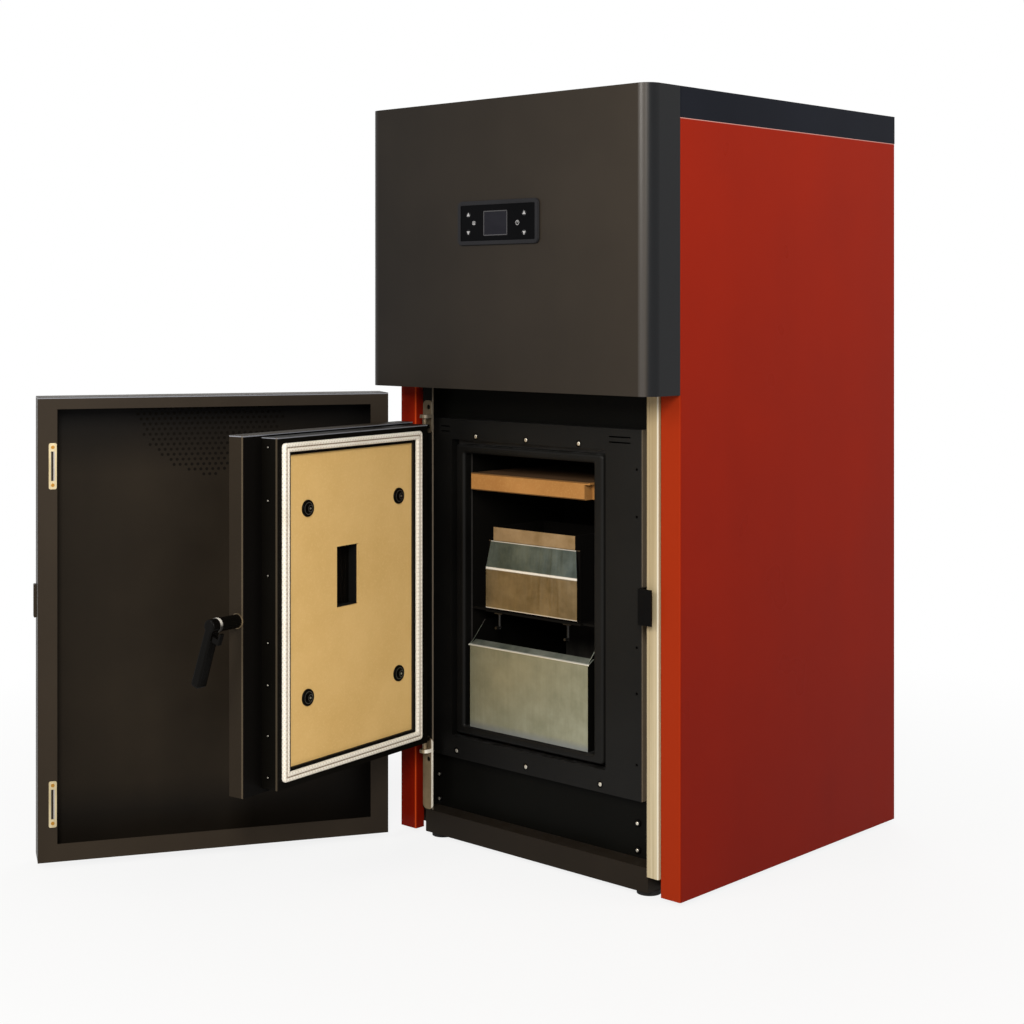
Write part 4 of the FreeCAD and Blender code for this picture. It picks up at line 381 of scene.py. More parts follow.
def strike_plate(name, deep, pale, screw):
    """Pale brass plate of the outer door, with yellow screw heads and a slot, dark with painted
    shade on one side and pale with a painted highlight on the other.
    """
    material, tree, skin, spot = new_finish(name)
    marks = metal_marks(tree, spot, (300, 300, 20))
    shut = shut_place(tree, spot, "outer_door_swing")
    across, depth, height = (axis_of(tree, shut, axis) for axis in (X, Y, Z))
    slots = []
    for middle in STRIKE_HEIGHTS:
        away = away_from(tree, height, middle)
        slots.append(
            spread(tree, away, 1.0, 0.0, STRIKE_SLOT_HALF - 0.0005, STRIKE_SLOT_HALF + 0.0005)
        )
    slot = calc(tree, "MAXIMUM", *slots)
    heads = spread(tree, depth, 0.0, 1.0, STRIKE_FACE + 0.0001, STRIKE_FACE + 0.0003)
    # Painted shade on one side of each slot, and a painted highlight on the other.
    dark = calc(tree, "MULTIPLY", slot, line_at(tree, across, STRIKE_X + 0.0016, 0.0018))
    bare = calc(tree, "MULTIPLY", slot, line_at(tree, across, STRIKE_X - 0.002, 0.0018))
    tone = two_tone(tree, marks["Lines"], deep, pale)
    for mask, other in ((heads, screw), (dark, SHADE), (bare, SLOT_HIGHLIGHT)):
        tone = two_tone(tree, mask, tone, other)
    worn = spread(tree, marks["Patches"], 0.34, 0.26)
    dressed(tree, skin, tone, worn, metallic=spread(tree, dark, 0.85, 0.0))
    bumped(tree, skin, marks["Lines"], 0.12, GRAIN_DEEP)
    return material


def moulded(name, deep, pale, rough, specular=0.4, shaded=False):
    """Moulded plastic or rubber with a fine grain, and painted shade on its underside if shaded."""
    material, tree, skin, spot = new_finish(name)
    coat = place(tree, COAT_GRAIN, Vector=spot, Scale=MOULDED_GRAIN)
    tone = two_tone(tree, coat["Cloud"], deep, pale)
    if shaded:
        # Painted shade on the underside, thinning out on the sides.
        under = spread(tree, facing_of(tree, Z), 1.0, 0.0, -0.1, 0.5)
        tone = two_tone(tree, under, tone, SHADE)
    dressed(tree, skin, tone, spread(tree, coat["Grain"], rough - 0.06, rough + 0.06), specular)
    bumped(tree, skin, coat["Grain"], 0.15, 0.0002)
    return material


def pressed_board(name, deep, pale, fleck, scorch, smoke_and_shade=0.0, dark_below=None):
    """Pressed mineral board: pale flakes, pits, brown scorching, and smoke with painted shade on
    the faces above and below.

    dark_below blackens the walls of the sight opening behind that depth: painted shade.
    """
    material, tree, skin, spot = new_finish(name)
    flakes = add(tree, "TexVoronoi", feature="F1")
    feed(tree, flakes.inputs["Vector"], spot)
    flakes.inputs["Scale"].default_value = 420.0
    broad = noise(tree, spot, 9.0, 4.0, 0.6)
    grit = noise(tree, spot, 700.0, 3.0, 0.7)
    tone = two_tone(tree, spread(tree, broad, 0.0, 1.0, 0.3, 0.7), deep, pale)
    light = spread(tree, flakes.outputs["Color"], 0.0, 0.35, 0.55, 1.0)
    tone = two_tone(tree, light, tone, fleck)
    black = place(tree, SOOT, Vector=spot, Amount=scorch)["Soot"]
    tone = two_tone(tree, calc(tree, "MULTIPLY", black, 0.6), tone, SCORCH_BROWN)
    # Smoke together with painted shade on the faces that look up or down.
    if smoke_and_shade:
        level = calc(tree, "ABSOLUTE", facing_of(tree, Z))
        tone = two_tone(tree, spread(tree, level, 0.0, smoke_and_shade, 0.5, 0.8), tone, SMOKE_SHADE_BROWN)
    # Painted shade: the sight opening's walls are black behind that depth.
    if dark_below is not None:
        depth = axis_of(tree, shut_place(tree, spot, "inner_door_swing"), Y)
        behind = spread(tree, depth, 1.0, 0.0, dark_below - 0.0006, dark_below + 0.0006)
        tone = two_tone(tree, behind, tone, OPENING_BLACK)
    dressed(tree, skin, tone, 0.92, 0.15)
    pits = calc(tree, "ADD", grit, calc(tree, "MULTIPLY", broad, 0.5))
    bumped(tree, skin, pits, 0.35, 0.0006)
    return material


def soot_and_shade_sides(tree, spot):
    """Black on the faces that look sideways, up or down, ragged at the corners: part soot, part
    painted shade.
    """
    ragged = calc(tree, "MULTIPLY", noise(tree, spot, 60.0, 3.0), 0.3)
    edge = calc(tree, "ADD", facing_of(tree, Y), ragged)
    return spread(tree, edge, 0.0, 1.0, -0.35, 0.0)


def straw_steel_blue_sheen(name, low, fold, top):
    """Stainless sheet: straw-coloured below the fold, blue-grey above it as a painted reflection of
    cool light, with painted highlights along the fold and edges.
    """
    material, tree, skin, spot = new_finish(name)
    streaks = metal_marks(tree, spot, (160, 30, 9))
    height = axis_of(tree, spot, Z)
    wavy = calc(tree, "ADD", height, calc(tree, "MULTIPLY", streaks["Patches"], 0.004))
    # A blue-grey tone above the fold: painted reflection of cool light.
    blue = spread(tree, wavy, 0.0, 1.0, fold - 0.002, fold + 0.004)
    worn = shares(tree, streaks["Lines"], 0.2, streaks["Patches"], 0.8)
    straw = two_tone(tree, worn, (0.21, 0.178, 0.112), (0.4, 0.345, 0.245))
    steel = two_tone(tree, worn, (0.07, 0.108, 0.128), (0.2, 0.275, 0.305))
    tone = two_tone(tree, blue, straw, steel)
    # Painted highlights along the fold and the top and bottom edges.
    edges = line_at(tree, height, fold, 0.0028)
    for place_at in (low, top):
        rim = calc(tree, "MULTIPLY", line_at(tree, height, place_at, 0.002), 0.7)
        edges = calc(tree, "MAXIMUM", edges, rim)
    tone = two_tone(tree, calc(tree, "MULTIPLY", edges, 0.85), tone, (0.95, 0.93, 0.88))
    # Black with soot and painted shade on the faces that look sideways, up or down.
    black = soot_and_shade_sides(tree, spot)
    tone = two_tone(tree, black, tone, SOOT_AND_SHADE_BLACK)
    bare = calc(tree, "MAXIMUM", black, calc(tree, "MULTIPLY", edges, 0.6))
    rough = spread(tree, streaks["Lines"], 0.28, 0.4)
    dressed(tree, skin, tone, rough, SOOTED_SPECULAR, spread(tree, bare, 0.95, 0.0))
    bumped(tree, skin, streaks["Lines"], 0.12, GRAIN_DEEP)
    return material


def sooted_and_shaded(name, deep, pale, back, low):
    """Burner steel, straw-coloured in front above one height and black elsewhere, part soot and
    part painted shade.
    """
    material, tree, skin, spot = new_finish(name)
    marks = metal_marks(tree, spot, (160, 30, 9))
    behind = spread(tree, axis_of(tree, spot, Y), 0.0, 1.0, back, back + 0.002)
    below = spread(tree, axis_of(tree, spot, Z), 1.0, 0.0, low - 0.001, low + 0.001)
    # Black with soot and painted shade behind, below one height and on faces that look sideways, up
    # or down.
    black = calc(tree, "MAXIMUM", soot_and_shade_sides(tree, spot), behind)
    black = calc(tree, "MAXIMUM", black, below)
    tone = two_tone(tree, marks["Patches"], deep, pale)
    tone = two_tone(tree, black, tone, SOOT_AND_SHADE_BLACK)
    rough, metallic = spread(tree, black, 0.5, 0.95), spread(tree, black, 0.6, 0.0)
    dressed(tree, skin, tone, rough, SOOTED_SPECULAR, metallic)
    bumped(tree, skin, marks["Lines"], 0.15, GRAIN_DEEP)
    return material


def drawer_sheet(name, deep, pale, lip):
    """Galvanised sheet, clean in front, with a painted highlight on the lip's fold, a darker top to
    the lip and painted bluish shade along the bottom edge; black with soot and painted shade inside
    and on its sides.
    """
    material, tree, skin, spot = new_finish(name)
    marks = metal_marks(tree, spot, (160, 12, 8))
    mottle = shares(tree, marks["Lines"], 0.25, marks["Patches"], 0.75)
    depth, height = axis_of(tree, spot, Y), axis_of(tree, spot, Z)
    inside = spread(tree, depth, 0.0, 1.0, DRAWER_INSIDE, DRAWER_INSIDE + 0.002)
    # Painted bluish shade along the bottom edge.
    bottom_shade = spread(tree, height, 0.7, 0.0, DRAWER_LOW + 0.004, DRAWER_LOW + 0.014)
    above = spread(tree, height, 0.0, 0.8, lip, lip + 0.001)
    lip_tone = two_tone(tree, marks["Patches"], (0.09, 0.115, 0.105), (0.33, 0.36, 0.32))
    ash_tone = two_tone(tree, mottle, (0.03, 0.028, 0.025), (0.075, 0.071, 0.064))
    black = soot_and_shade_sides(tree, spot)
    tone = two_tone(tree, mottle, deep, pale)
    for mask, other in (
        (bottom_shade, (0.2, 0.215, 0.23)),
        (above, lip_tone),
        # Painted highlight on the lip's fold.
        (line_at(tree, height, lip, 0.0016), (0.92, 0.92, 0.85)),
        (inside, ash_tone),
        # Black with soot and painted shade on the faces that look sideways, up or down.
        (black, ASH_AND_SHADE_BLACK),
    ):
        tone = two_tone(tree, mask, tone, other)
    metallic = spread(tree, calc(tree, "MAXIMUM", black, inside), 0.75, 0.0)
    dressed(tree, skin, tone, spread(tree, mottle, 0.5, 0.38), SOOTED_SPECULAR, metallic)
    bumped(tree, skin, marks["Lines"], 0.08, GRAIN_DEEP)
    return material


def charred(name, deep, pale):
    """Steel under a matt layer of soot, with a few paler patches."""
    material, tree, skin, spot = new_finish(name)
    patch = place(tree, SOOT, Vector=spot, Amount=0.0)["Soot"]
    tone = two_tone(tree, patch, pale, deep)
    dressed(tree, skin, tone, spread(tree, patch, 0.8, 0.97), 0.03)
    bumped(tree, skin, noise(tree, spot, 500.0, 3.0, 0.7), 0.3, 0.0005)
    return material


def lined_strip(name, deep, pale, upper_tone):
    """The pale edge strip, with the upright lines of its drawn section, darker and yellower toward
    the top, and a painted highlight along its right edge.
    """
    material, tree, skin, spot = new_finish(name)
    drawn = noise(tree, stretched(tree, spot, (260, 260, 1.5)), 1.0, 3.0, 0.6)
    tone = two_tone(tree, spread(tree, drawn, 0.0, 1.0, 0.32, 0.62), deep, pale)
    # Darker and yellower toward the top.
    yellow = spread(tree, axis_of(tree, spot, Z), 0.0, 0.75, 0.2, 0.8)
    tone = two_tone(tree, yellow, tone, upper_tone)
    # Painted highlight along the strip's right edge.
    bright = line_at(tree, axis_of(tree, spot, X), STRIP_EDGE - 0.0018, 0.0018)
    tone = two_tone(tree, calc(tree, "MULTIPLY", bright, 0.6), tone, (0.75, 0.74, 0.65))
    dressed(tree, skin, tone, spread(tree, drawn, 0.5, 0.36), 0.3)
    bumped(tree, skin, drawn, 0.2, 0.0004)
    return material


def braided_rope(name):
    """Glass-fibre rope: crossing strands, loose fibre, a brown print along the middle."""
    material, tree, skin, spot = new_finish(name)
    along = add(tree, "UVMap", uv_map="rope").outputs[0]
    strands = []
    for lean in (0.7, -0.7):
        wave = add(tree, "TexWave", wave_type="BANDS", bands_direction="X")
        feed(tree, wave.inputs["Vector"], stretched(tree, along, (1, 1, 1), (0, 0, lean)))
        wave.inputs["Scale"].default_value = 60.0
        wave.inputs["Distortion"].default_value = 0.6
        strands.append(wave.outputs["Fac"])
    weave = calc(tree, "MAXIMUM", *strands)
    fibre = noise(tree, spot, 900.0, 4.0, 0.7)
    patch = noise(tree, spot, 16.0, 3.0, 0.6)
    from_middle = away_from(tree, axis_of(tree, along, 1), ROPE_WIDE / 2)
    middle = spread(tree, from_middle, 1.0, 0.0, 0.0004, 0.0016)
    print_mask = calc(tree, "MULTIPLY", middle, spread(tree, weave, 0.35, 0.95))
    tone = two_tone(tree, weave, (0.68, 0.62, 0.52), (0.9, 0.86, 0.77))
    tone = two_tone(tree, spread(tree, patch, 0.0, 0.35, 0.5, 0.8), tone, (0.5, 0.4, 0.26))
    tone = two_tone(tree, print_mask, tone, (0.16, 0.09, 0.04))
    dressed(tree, skin, tone, 0.95, 0.1)
    hairy = calc(tree, "ADD", weave, calc(tree, "MULTIPLY", fibre, 0.5))
    bumped(tree, skin, hairy, 0.35, 0.0008)
    return material


def pane(name):
    """Smoked glass with a haze of soot."""
    material, tree, skin, spot = new_finish(name)
    haze = noise(tree, spot, 40.0, 5.0, 0.6)
    dressed(tree, skin, (0.02, 0.016, 0.012, 1), spread(tree, haze, 0.02, 0.25), 0.1)
    skin.inputs["Transmission Weight"].default_value = 0.8
    skin.inputs["IOR"].default_value = 1.5
    return material


def display(name):
    """A dark display window behind a faintly streaked cover."""
    material, tree, skin, spot = new_finish(name)
    sheen = noise(tree, stretched(tree, spot, (20, 20, 60)), 1.0, 3.0)
    tone = two_tone(tree, sheen, (0.009, 0.009, 0.0125), (0.016, 0.016, 0.021))
    dressed(tree, skin, tone, spread(tree, sheen, 0.12, 0.24), 0.04)
    return material


# Finishes: name, deep tone, pale tone, roughness, then what the kind of finish asks for

# Tones of painted highlights along edges and corners
LIT_BROWN = (0.1, 0.078, 0.052)
LIT_BLUE = (0.24, 0.25, 0.28)
LIT_RED = (0.8, 0.5, 0.45)
LIT_CORNER = (0.6, 0.07, 0.012)
# A darker, less glossy copy of the frame's black paint: painted shade on the shield and the left
# jamb
SHADED_BLACK_SHEET = ((0.0018, 0.0018, 0.0014), (0.004, 0.0039, 0.0032), 0.5, 0.04, 600.0, 0.35)


def top_line(top, strength):
    """The painted highlight along the upper edge of a door's sheet."""
    return (Z, top - 0.0013, 0.0012, strength, LIT_BLUE)


# Painted shade: a darker bluish tone on the faces that look to +X, and a ramp along X that darkens
# the left.
cowl_coat = coated_sheet(
    "cowl_coat", (0.007, 0.0052, 0.0036), (0.027, 0.021, 0.015), 0.34, 0.12,
    inner=(0.0085, 0.0092, 0.0105), light_ramp=(X, -0.32, 0.3, 0.38), polish=0.9, mottle=0.45,
)
# Painted shade: the ramp along X darkens the hinge side; the top line is a painted highlight.
skin_coat = coated_sheet(
    "skin_coat", (0.017, 0.0122, 0.008), (0.03, 0.022, 0.0145), 0.44, 0.09,
    light_ramp=(X, -0.31, 0.1, 0.3), edges=(top_line(OUTER_TOP, 0.9),), door="outer_door_swing",
)
# Painted shade darkens the liner toward its top, its bottom and its hinge side.
liner_coat = coated_sheet(
    "liner_coat", (0.0095, 0.0068, 0.0042), (0.023, 0.017, 0.0108), 0.46, 0.07,
    recess_shade=((Z, 0.66, 0.765, 0.93), (Z, 0.125, 0.07, 0.6), (X, -0.1, -0.28, 0.85)),
    door="outer_door_swing",
)
# The two lines are painted highlights along the pan's top edge and its back edge.
pan_coat = coated_sheet(
    "pan_coat", (0.0145, 0.0108, 0.0072), (0.025, 0.0188, 0.0125), 0.5, 0.04,
    inner=(0.0025, 0.0021, 0.0017),
    edges=(top_line(PAN_TOP, 0.9), (Y, PAN_BACK - 0.0024, 0.002, 0.8, LIT_BROWN)),
    door="inner_door_swing",
)
# The two lines are painted highlights: along the casing's top edge, and in brown beside the
# gasket's seat.
casing_coat = coated_sheet(
    "casing_coat", (0.002, 0.0018, 0.0014), (0.0045, 0.0038, 0.0028), 0.5, 0.03,
    edges=(top_line(CASING_TOP, 0.8), (Y, GASKET_SEAT - 0.0022, 0.0022, 0.5, LIT_BROWN)),
    door="inner_door_swing",
)
lid_coat = coated_sheet(
    "lid_coat", (0.004, 0.0048, 0.0085), (0.0085, 0.0102, 0.0165), 0.36, 0.045
)
# Painted light: a warmer lit tone on the right return's front, a ramp that darkens the panels
# toward the bottom, and highlight lines on the top edge and the return's corner.
red_coat = coated_sheet(
    "red_coat", (0.16, 0.0054, 0.0008), (0.31, 0.0165, 0.0042), 0.32, 0.035, 1100.0, 0.12,
    front=(0.283, 0.0225, 0.0043), light_ramp=(Z, 0.1, 1.2, 0.32), mottle=0.3,
    edges=(
        (Z, RED_TOP, 0.0016, 0.6, LIT_RED),
        (X, RETURN_EDGE - 0.0018, 0.0018, 0.8, LIT_CORNER),
    ),
)
shield_black = coated_sheet("shield_black", *SHADED_BLACK_SHEET)
# The line along the jamb's edge is a painted highlight.
jamb_black = coated_sheet(
    "jamb_black", *SHADED_BLACK_SHEET,
    edges=((X, JAMB_EDGE - 0.0008, 0.0014, 0.9, (0.2, 0.165, 0.125)),),
)
# Painted sheen: the ramp along X lightens the right side, and the line at the frame's edge is a
# painted highlight.
frame_black = coated_sheet(
    "frame_black", (0.0022, 0.0021, 0.0019), (0.0075, 0.0072, 0.0065), 0.46, 0.1,
    600.0, 0.35, 0.3, light_ramp=(X, -0.25, 0.25, 0.35),
    edges=((X, FRAME_EDGE, 0.0015, 0.9, (0.13, 0.105, 0.075)),),
)
plinth_black = coated_sheet(
    "plinth_black", (0.0105, 0.0076, 0.005), (0.0175, 0.013, 0.0088), 0.46, 0.07
)
strip_cream = lined_strip(
    "strip_cream", (0.36, 0.297, 0.18), (0.5, 0.43, 0.285), (0.27, 0.19, 0.088)
)
fire_black = charred("fire_black", (0.0012, 0.0011, 0.001), (0.004, 0.0036, 0.003))
boiler_steel = rolled_metal(
    "boiler_steel", (0.03, 0.028, 0.026), (0.06, 0.055, 0.05), 0.6, (20, 20, 300), 0.6
)
galvanised = rolled_metal(
    "galvanised", (0.29, 0.285, 0.215), (0.43, 0.425, 0.34), 0.42, (12, 12, 500), 0.75
)
drawer_zinc = drawer_sheet(
    "drawer_zinc", (0.245, 0.248, 0.168), (0.375, 0.375, 0.275), DRAWER_LIP
)
zinc_plate = rolled_metal(
    "zinc_plate", (0.5, 0.46, 0.38), (0.68, 0.64, 0.55), 0.34, (60, 60, 60), 0.9
)
plain_steel = rolled_metal(
    "plain_steel", (0.35, 0.35, 0.35), (0.5, 0.5, 0.5), 0.38, (200, 200, 20)
)
cast_alloy = rolled_metal(
    "cast_alloy", (0.32, 0.32, 0.33), (0.45, 0.45, 0.46), 0.55, (80, 80, 80), 0.9, 0.3
)
pipe_brass = rolled_metal(
    "pipe_brass", (0.5, 0.33, 0.12), (0.66, 0.47, 0.2), 0.3, (20, 600, 20)
)
magnet_brass = strike_plate(
    "magnet_brass", (0.5, 0.4, 0.22), (0.68, 0.58, 0.37), (0.42, 0.2, 0.03)
)
burner_steel = straw_steel_blue_sheen("burner_steel", COVER_LOW, COVER_FOLD, COVER_TOP)
pot_steel = sooted_and_shaded(
    "pot_steel", (0.26, 0.175, 0.085), (0.4, 0.285, 0.16), POT_BACK, COVER_TOP
)
door_mineral = pressed_board(
    "door_mineral", (0.66, 0.425, 0.15), (0.74, 0.49, 0.19), (0.78, 0.55, 0.25), -0.32,
    dark_below=BOARD_FACE - 0.0042,
)
baffle_mineral = pressed_board(
    "baffle_mineral", (0.28, 0.125, 0.032), (0.385, 0.185, 0.054), (0.44, 0.245, 0.085), -0.05,
    smoke_and_shade=0.9,
)
rope = braided_rope("rope_fibre")
bolt_black = moulded("bolt_black", (0.0012, 0.0011, 0.001), (0.0022, 0.002, 0.0018), 0.3, 0.05)
# Paler black for the washer rings: painted highlights.
ring_highlight_black = rolled_metal(
    "ring_highlight_black", (0.06, 0.057, 0.054), (0.13, 0.122, 0.112), 0.35, (90, 90, 90), 0.6
)
hook_steel = rolled_metal(
    "hook_steel", (0.006, 0.0055, 0.005), (0.04, 0.038, 0.035), 0.3, (90, 90, 90), 0.8
)
hinge_zinc = zinc_with_painted_light(
    "hinge_zinc", (0.19, 0.135, 0.072), (0.32, 0.235, 0.135), (0.95, 0.9, 0.78)
)
handle_moulding = moulded(
    "handle_moulding", (0.0016, 0.0014, 0.0011), (0.0028, 0.0024, 0.0019), 0.24, 0.05
)
panel_moulding = moulded(
    "panel_moulding", (0.009, 0.009, 0.0105), (0.014, 0.014, 0.016), 0.45, 0.1
)
key_moulding = moulded("key_moulding", (0.005, 0.005, 0.006), (0.009, 0.009, 0.01), 0.4, 0.15)
membrane_gloss = moulded(
    "membrane_gloss", (0.001, 0.001, 0.0013), (0.002, 0.002, 0.0025), 0.25, 0.03
)
inlet_moulding = moulded("inlet_moulding", (0.012, 0.012, 0.012), (0.02, 0.02, 0.02), 0.5)
foot_rubber = moulded("foot_rubber", (0.008, 0.008, 0.008), (0.016, 0.015, 0.014), 0.75, 0.2)
collar_nylon = moulded("collar_nylon", (0.46, 0.44, 0.4), (0.58, 0.56, 0.51), 0.4, shaded=True)
border_grey = moulded("border_grey", (0.04, 0.04, 0.043), (0.06, 0.06, 0.064), 0.5, 0.2)
mark_print = moulded("mark_print", (0.3, 0.3, 0.31), (0.38, 0.38, 0.39), 0.5, 0.2)
# Dark discs for the liner's air holes: painted shade.
hole_dark = moulded("hole_dark", (0.0045, 0.0036, 0.0026), (0.007, 0.0056, 0.004), 0.8, 0.04)
sight_pane = pane("sight_pane_glass")
screen_window = display("screen_window")

KEYS = sorted(name for name in NODES if name.startswith("key_"))
FINISHES = (
    (cowl_coat, ("front_cowl",)),
    (skin_coat, ("outer_skin", "door_pull")),
    (liner_coat, ("outer_liner",)),
    (pan_coat, ("inner_pan",)),
    (casing_coat, ("inner_casing",)),
    (lid_coat, ("top_cover", "hopper_lid")),
    (red_coat, ("side_panel_left", "side_panel_right")),
    (frame_black, ("door_frame", "neck_collar", "outer_hinges")),
    (shield_black, ("front_shield",)),
    (jamb_black, ("left_jamb",)),
    (plinth_black, ("base_frame",)),
    (strip_cream, ("right_jamb",)),
    (fire_black, ("firebox",)),
    (boiler_steel, ("boiler_body", "fire_tubes")),
    (galvanised, ("back_panel", "hopper", "flue_spigot")),
    (drawer_zinc, ("ash_drawer",)),
    (hinge_zinc, ("inner_hinges",)),
    (hook_steel, ("shelf_hooks",)),
    (plain_steel, ("igniter", "auger_tube", "auger_screw", "feed_chute")),
    (cast_alloy, ("auger_motor", "fan_housing", "fan_wheel", "fan_motor")),
    (pipe_brass, ("supply_pipe", "return_pipe")),
    (magnet_brass, ("door_magnets",)),
    (burner_steel, ("burner_cover",)),
    (pot_steel, ("burner_pot",)),
    (door_mineral, ("door_board",)),
    (baffle_mineral, ("baffle_board",)),
    (bolt_black, ("board_bolts", "front_screws", "casing_rivets", "latch_catch")),
    (handle_moulding, ("handle_lever",)),
    (collar_nylon, ("handle_collar",)),
    (panel_moulding, ("control_panel",)),
    (screen_window, ("control_screen",)),
    (inlet_moulding, ("power_inlet", "mains_rocker")),
    (foot_rubber, ("levelling_feet",)),
    (sight_pane, ("sight_glass",)),
    (key_moulding, KEYS),
)
for material, names in FINISHES:
    for name in names:
        slots = NODES[name].data.materials
        slots.clear()
        slots.append(material)

# New pieces

SAME_POINT = 1e-6
SHARP_ANGLE = math.radians(50)
CORNER_SEGMENTS = 6
FACING = Matrix.Rotation(math.radians(90), 4, "X")
UNDER_FACING = Matrix.Rotation(math.radians(-90), 4, "X")
SIDEWAYS = Matrix.Rotation(math.radians(90), 4, "Y")


def finished(mesh, name, body, material, turn=None, smooth=False):
    """Makes the piece's object at the origin and hands it to the body that carries it."""
    bmesh.ops.remove_doubles(mesh, verts=mesh.verts, dist=SAME_POINT)
    bmesh.ops.recalc_face_normals(mesh, faces=mesh.faces)
    if turn is not None:
        bmesh.ops.transform(mesh, matrix=turn, verts=mesh.verts)
    data = bpy.data.meshes.new(name)
    mesh.to_mesh(data)
    mesh.free()
    if smooth:
        data.shade_smooth()
        data.set_sharp_from_angle(angle=SHARP_ANGLE)
    data.materials.append(material)
    piece = bpy.data.objects.new(name, data)
    bpy.context.scene.collection.objects.link(piece)
    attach(piece, body)
    return piece


def upright_sheet(mesh, x0, x1, y, z0, z1, round_by=0.0):
    """One face in the plane y, with rounded corners."""
    corners = [mesh.verts.new((x, y, z)) for x, z in ((x0, z0), (x1, z0), (x1, z1), (x0, z1))]
    face = mesh.faces.new(corners)
    if round_by:
        bmesh.ops.bevel(
            mesh, geom=corners, offset=round_by, offset_type="OFFSET", affect="VERTICES",
            segments=CORNER_SEGMENTS, profile=0.5, material=-1,
        )
        face = max(mesh.faces, key=lambda f: f.calc_area())
    return face


def opened(mesh, face, width):
    """Leaves only a rim of the given width of a face."""
    bmesh.ops.inset_region(
        mesh, faces=[face], thickness=width, use_boundary=True, use_even_offset=True
    )
    bmesh.ops.delete(mesh, geom=[face], context="FACES")


def ring_on(mesh, matrix, radius, width, segments=32):
    """A flat ring."""
    known = set(mesh.faces)
    bmesh.ops.create_circle(mesh, cap_ends=True, segments=segments, radius=radius, matrix=matrix)
    opened(mesh, next(face for face in mesh.faces if face not in known), width)


def raised(mesh, by):
    """Draws all faces out by a vector and closes the shape behind them."""
    grown = bmesh.ops.extrude_face_region(mesh, geom=list(mesh.faces), use_keep_orig=True)["geom"]
    moved = [v for v in grown if isinstance(v, bmesh.types.BMVert)]
    bmesh.ops.translate(mesh, vec=by, verts=moved)


def softened(mesh, y, offset):
    """Rounds the edges that lie in the plane y and border the sides."""
    edges = []
    for edge in mesh.edges:
        level = all(abs(v.co.y - y) < SAME_POINT for v in edge.verts)
        if level and len({round(abs(f.normal.y), 1) for f in edge.link_faces}) > 1:
            edges.append(edge)
    bmesh.ops.bevel(
        mesh, geom=edges, offset=offset, affect="EDGES", segments=2, profile=0.5, material=-1
    )


# Control panel: rim, black membrane, display border and key marks

panel_low, panel_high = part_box("control_panel")
screen_low, screen_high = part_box("control_screen")
RIM_WIDE = 0.0065
MEMBRANE_GAP, MEMBRANE_LIFT, MEMBRANE_THICK = 0.0006, 0.00003, 0.00009
MARK_FACE, MARK_RISE = KEY_FACE - 0.00002, 0.00012
ARROW_RADIUS = 0.0042
BAR_HALF_LONG, BAR_HALF_HIGH, BAR_STEP = 0.0032, 0.0006, 0.0021
POWER_RADIUS, POWER_LINE, POWER_STROKE_HALF, POWER_STROKE_HIGH = 0.004, 0.0008, 0.0005, 0.0027


def border(name, low, high, inset, width, rise, round_by, material):
    """A raised frame on the panel, this far inside a box or, if negative, outside it."""
    mesh = bmesh.new()
    face = upright_sheet(
        mesh, low.x + inset, high.x - inset, PANEL_FACE, low.z + inset, high.z - inset, round_by
    )
    opened(mesh, face, width)
    raised(mesh, (0, -rise, 0))
    bmesh.ops.recalc_face_normals(mesh, faces=mesh.faces)
    softened(mesh, PANEL_FACE - rise, 0.3 * rise)
    finished(mesh, name, "cabinet", material)


def panel_membrane():
    """The glossy sheet inside the rim, open over the display."""
    mesh = bmesh.new()
    inset = RIM_WIDE + MEMBRANE_GAP
    columns = (panel_low.x + inset, screen_low.x, screen_high.x, panel_high.x - inset)
    rows = (panel_low.z + inset, screen_low.z, screen_high.z, panel_high.z - inset)
    cells = len(rows) - 1
    bmesh.ops.create_grid(mesh, x_segments=cells, y_segments=cells, size=cells / 2)
    for vert in mesh.verts:
        column, row = round(vert.co.x + cells / 2), round(vert.co.y + cells / 2)
        vert.co = (columns[column], PANEL_FACE - MEMBRANE_LIFT, rows[row])
    middle = (screen_low + screen_high) / 2
    hole = min(mesh.faces, key=lambda f: (f.calc_center_median() - middle).length)
    bmesh.ops.delete(mesh, geom=[hole], context="FACES_ONLY")
    raised(mesh, (0, -MEMBRANE_THICK, 0))
    finished(mesh, "panel_membrane", "cabinet", membrane_gloss)


def mark_arrow(mesh, x, z, up):
    lean = Matrix.Rotation(math.radians(0 if up else 180), 4, "Y")
    at = Matrix.Translation((x, MARK_FACE, z)) @ lean @ FACING
    bmesh.ops.create_circle(mesh, cap_ends=True, segments=3, radius=ARROW_RADIUS, matrix=at)


def mark_bars(mesh, x, z):
    for n in (-1, 0, 1):
        middle = z + BAR_STEP * n
        upright_sheet(
            mesh, x - BAR_HALF_LONG, x + BAR_HALF_LONG, MARK_FACE,
            middle - BAR_HALF_HIGH, middle + BAR_HALF_HIGH,
        )


def mark_power(mesh, x, z):
    at = Matrix.Translation((x, MARK_FACE, z)) @ FACING
    ring_on(mesh, at, POWER_RADIUS, POWER_LINE, segments=24)
    upright_sheet(
        mesh, x - POWER_STROKE_HALF, x + POWER_STROKE_HALF, MARK_FACE, z, z + POWER_STROKE_HIGH
    )


def key_mark(key):
    low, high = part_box(key)
    x, z = (low.x + high.x) / 2, (low.z + high.z) / 2
    mesh = bmesh.new()
    if key == "key_menu":
        mark_bars(mesh, x, z)
    elif key == "key_power":
        mark_power(mesh, x, z)
    else:
        mark_arrow(mesh, x, z, key.endswith("_up"))
    raised(mesh, (0, -MARK_RISE, 0))
    finished(mesh, key.replace("key", "mark"), key, mark_print)


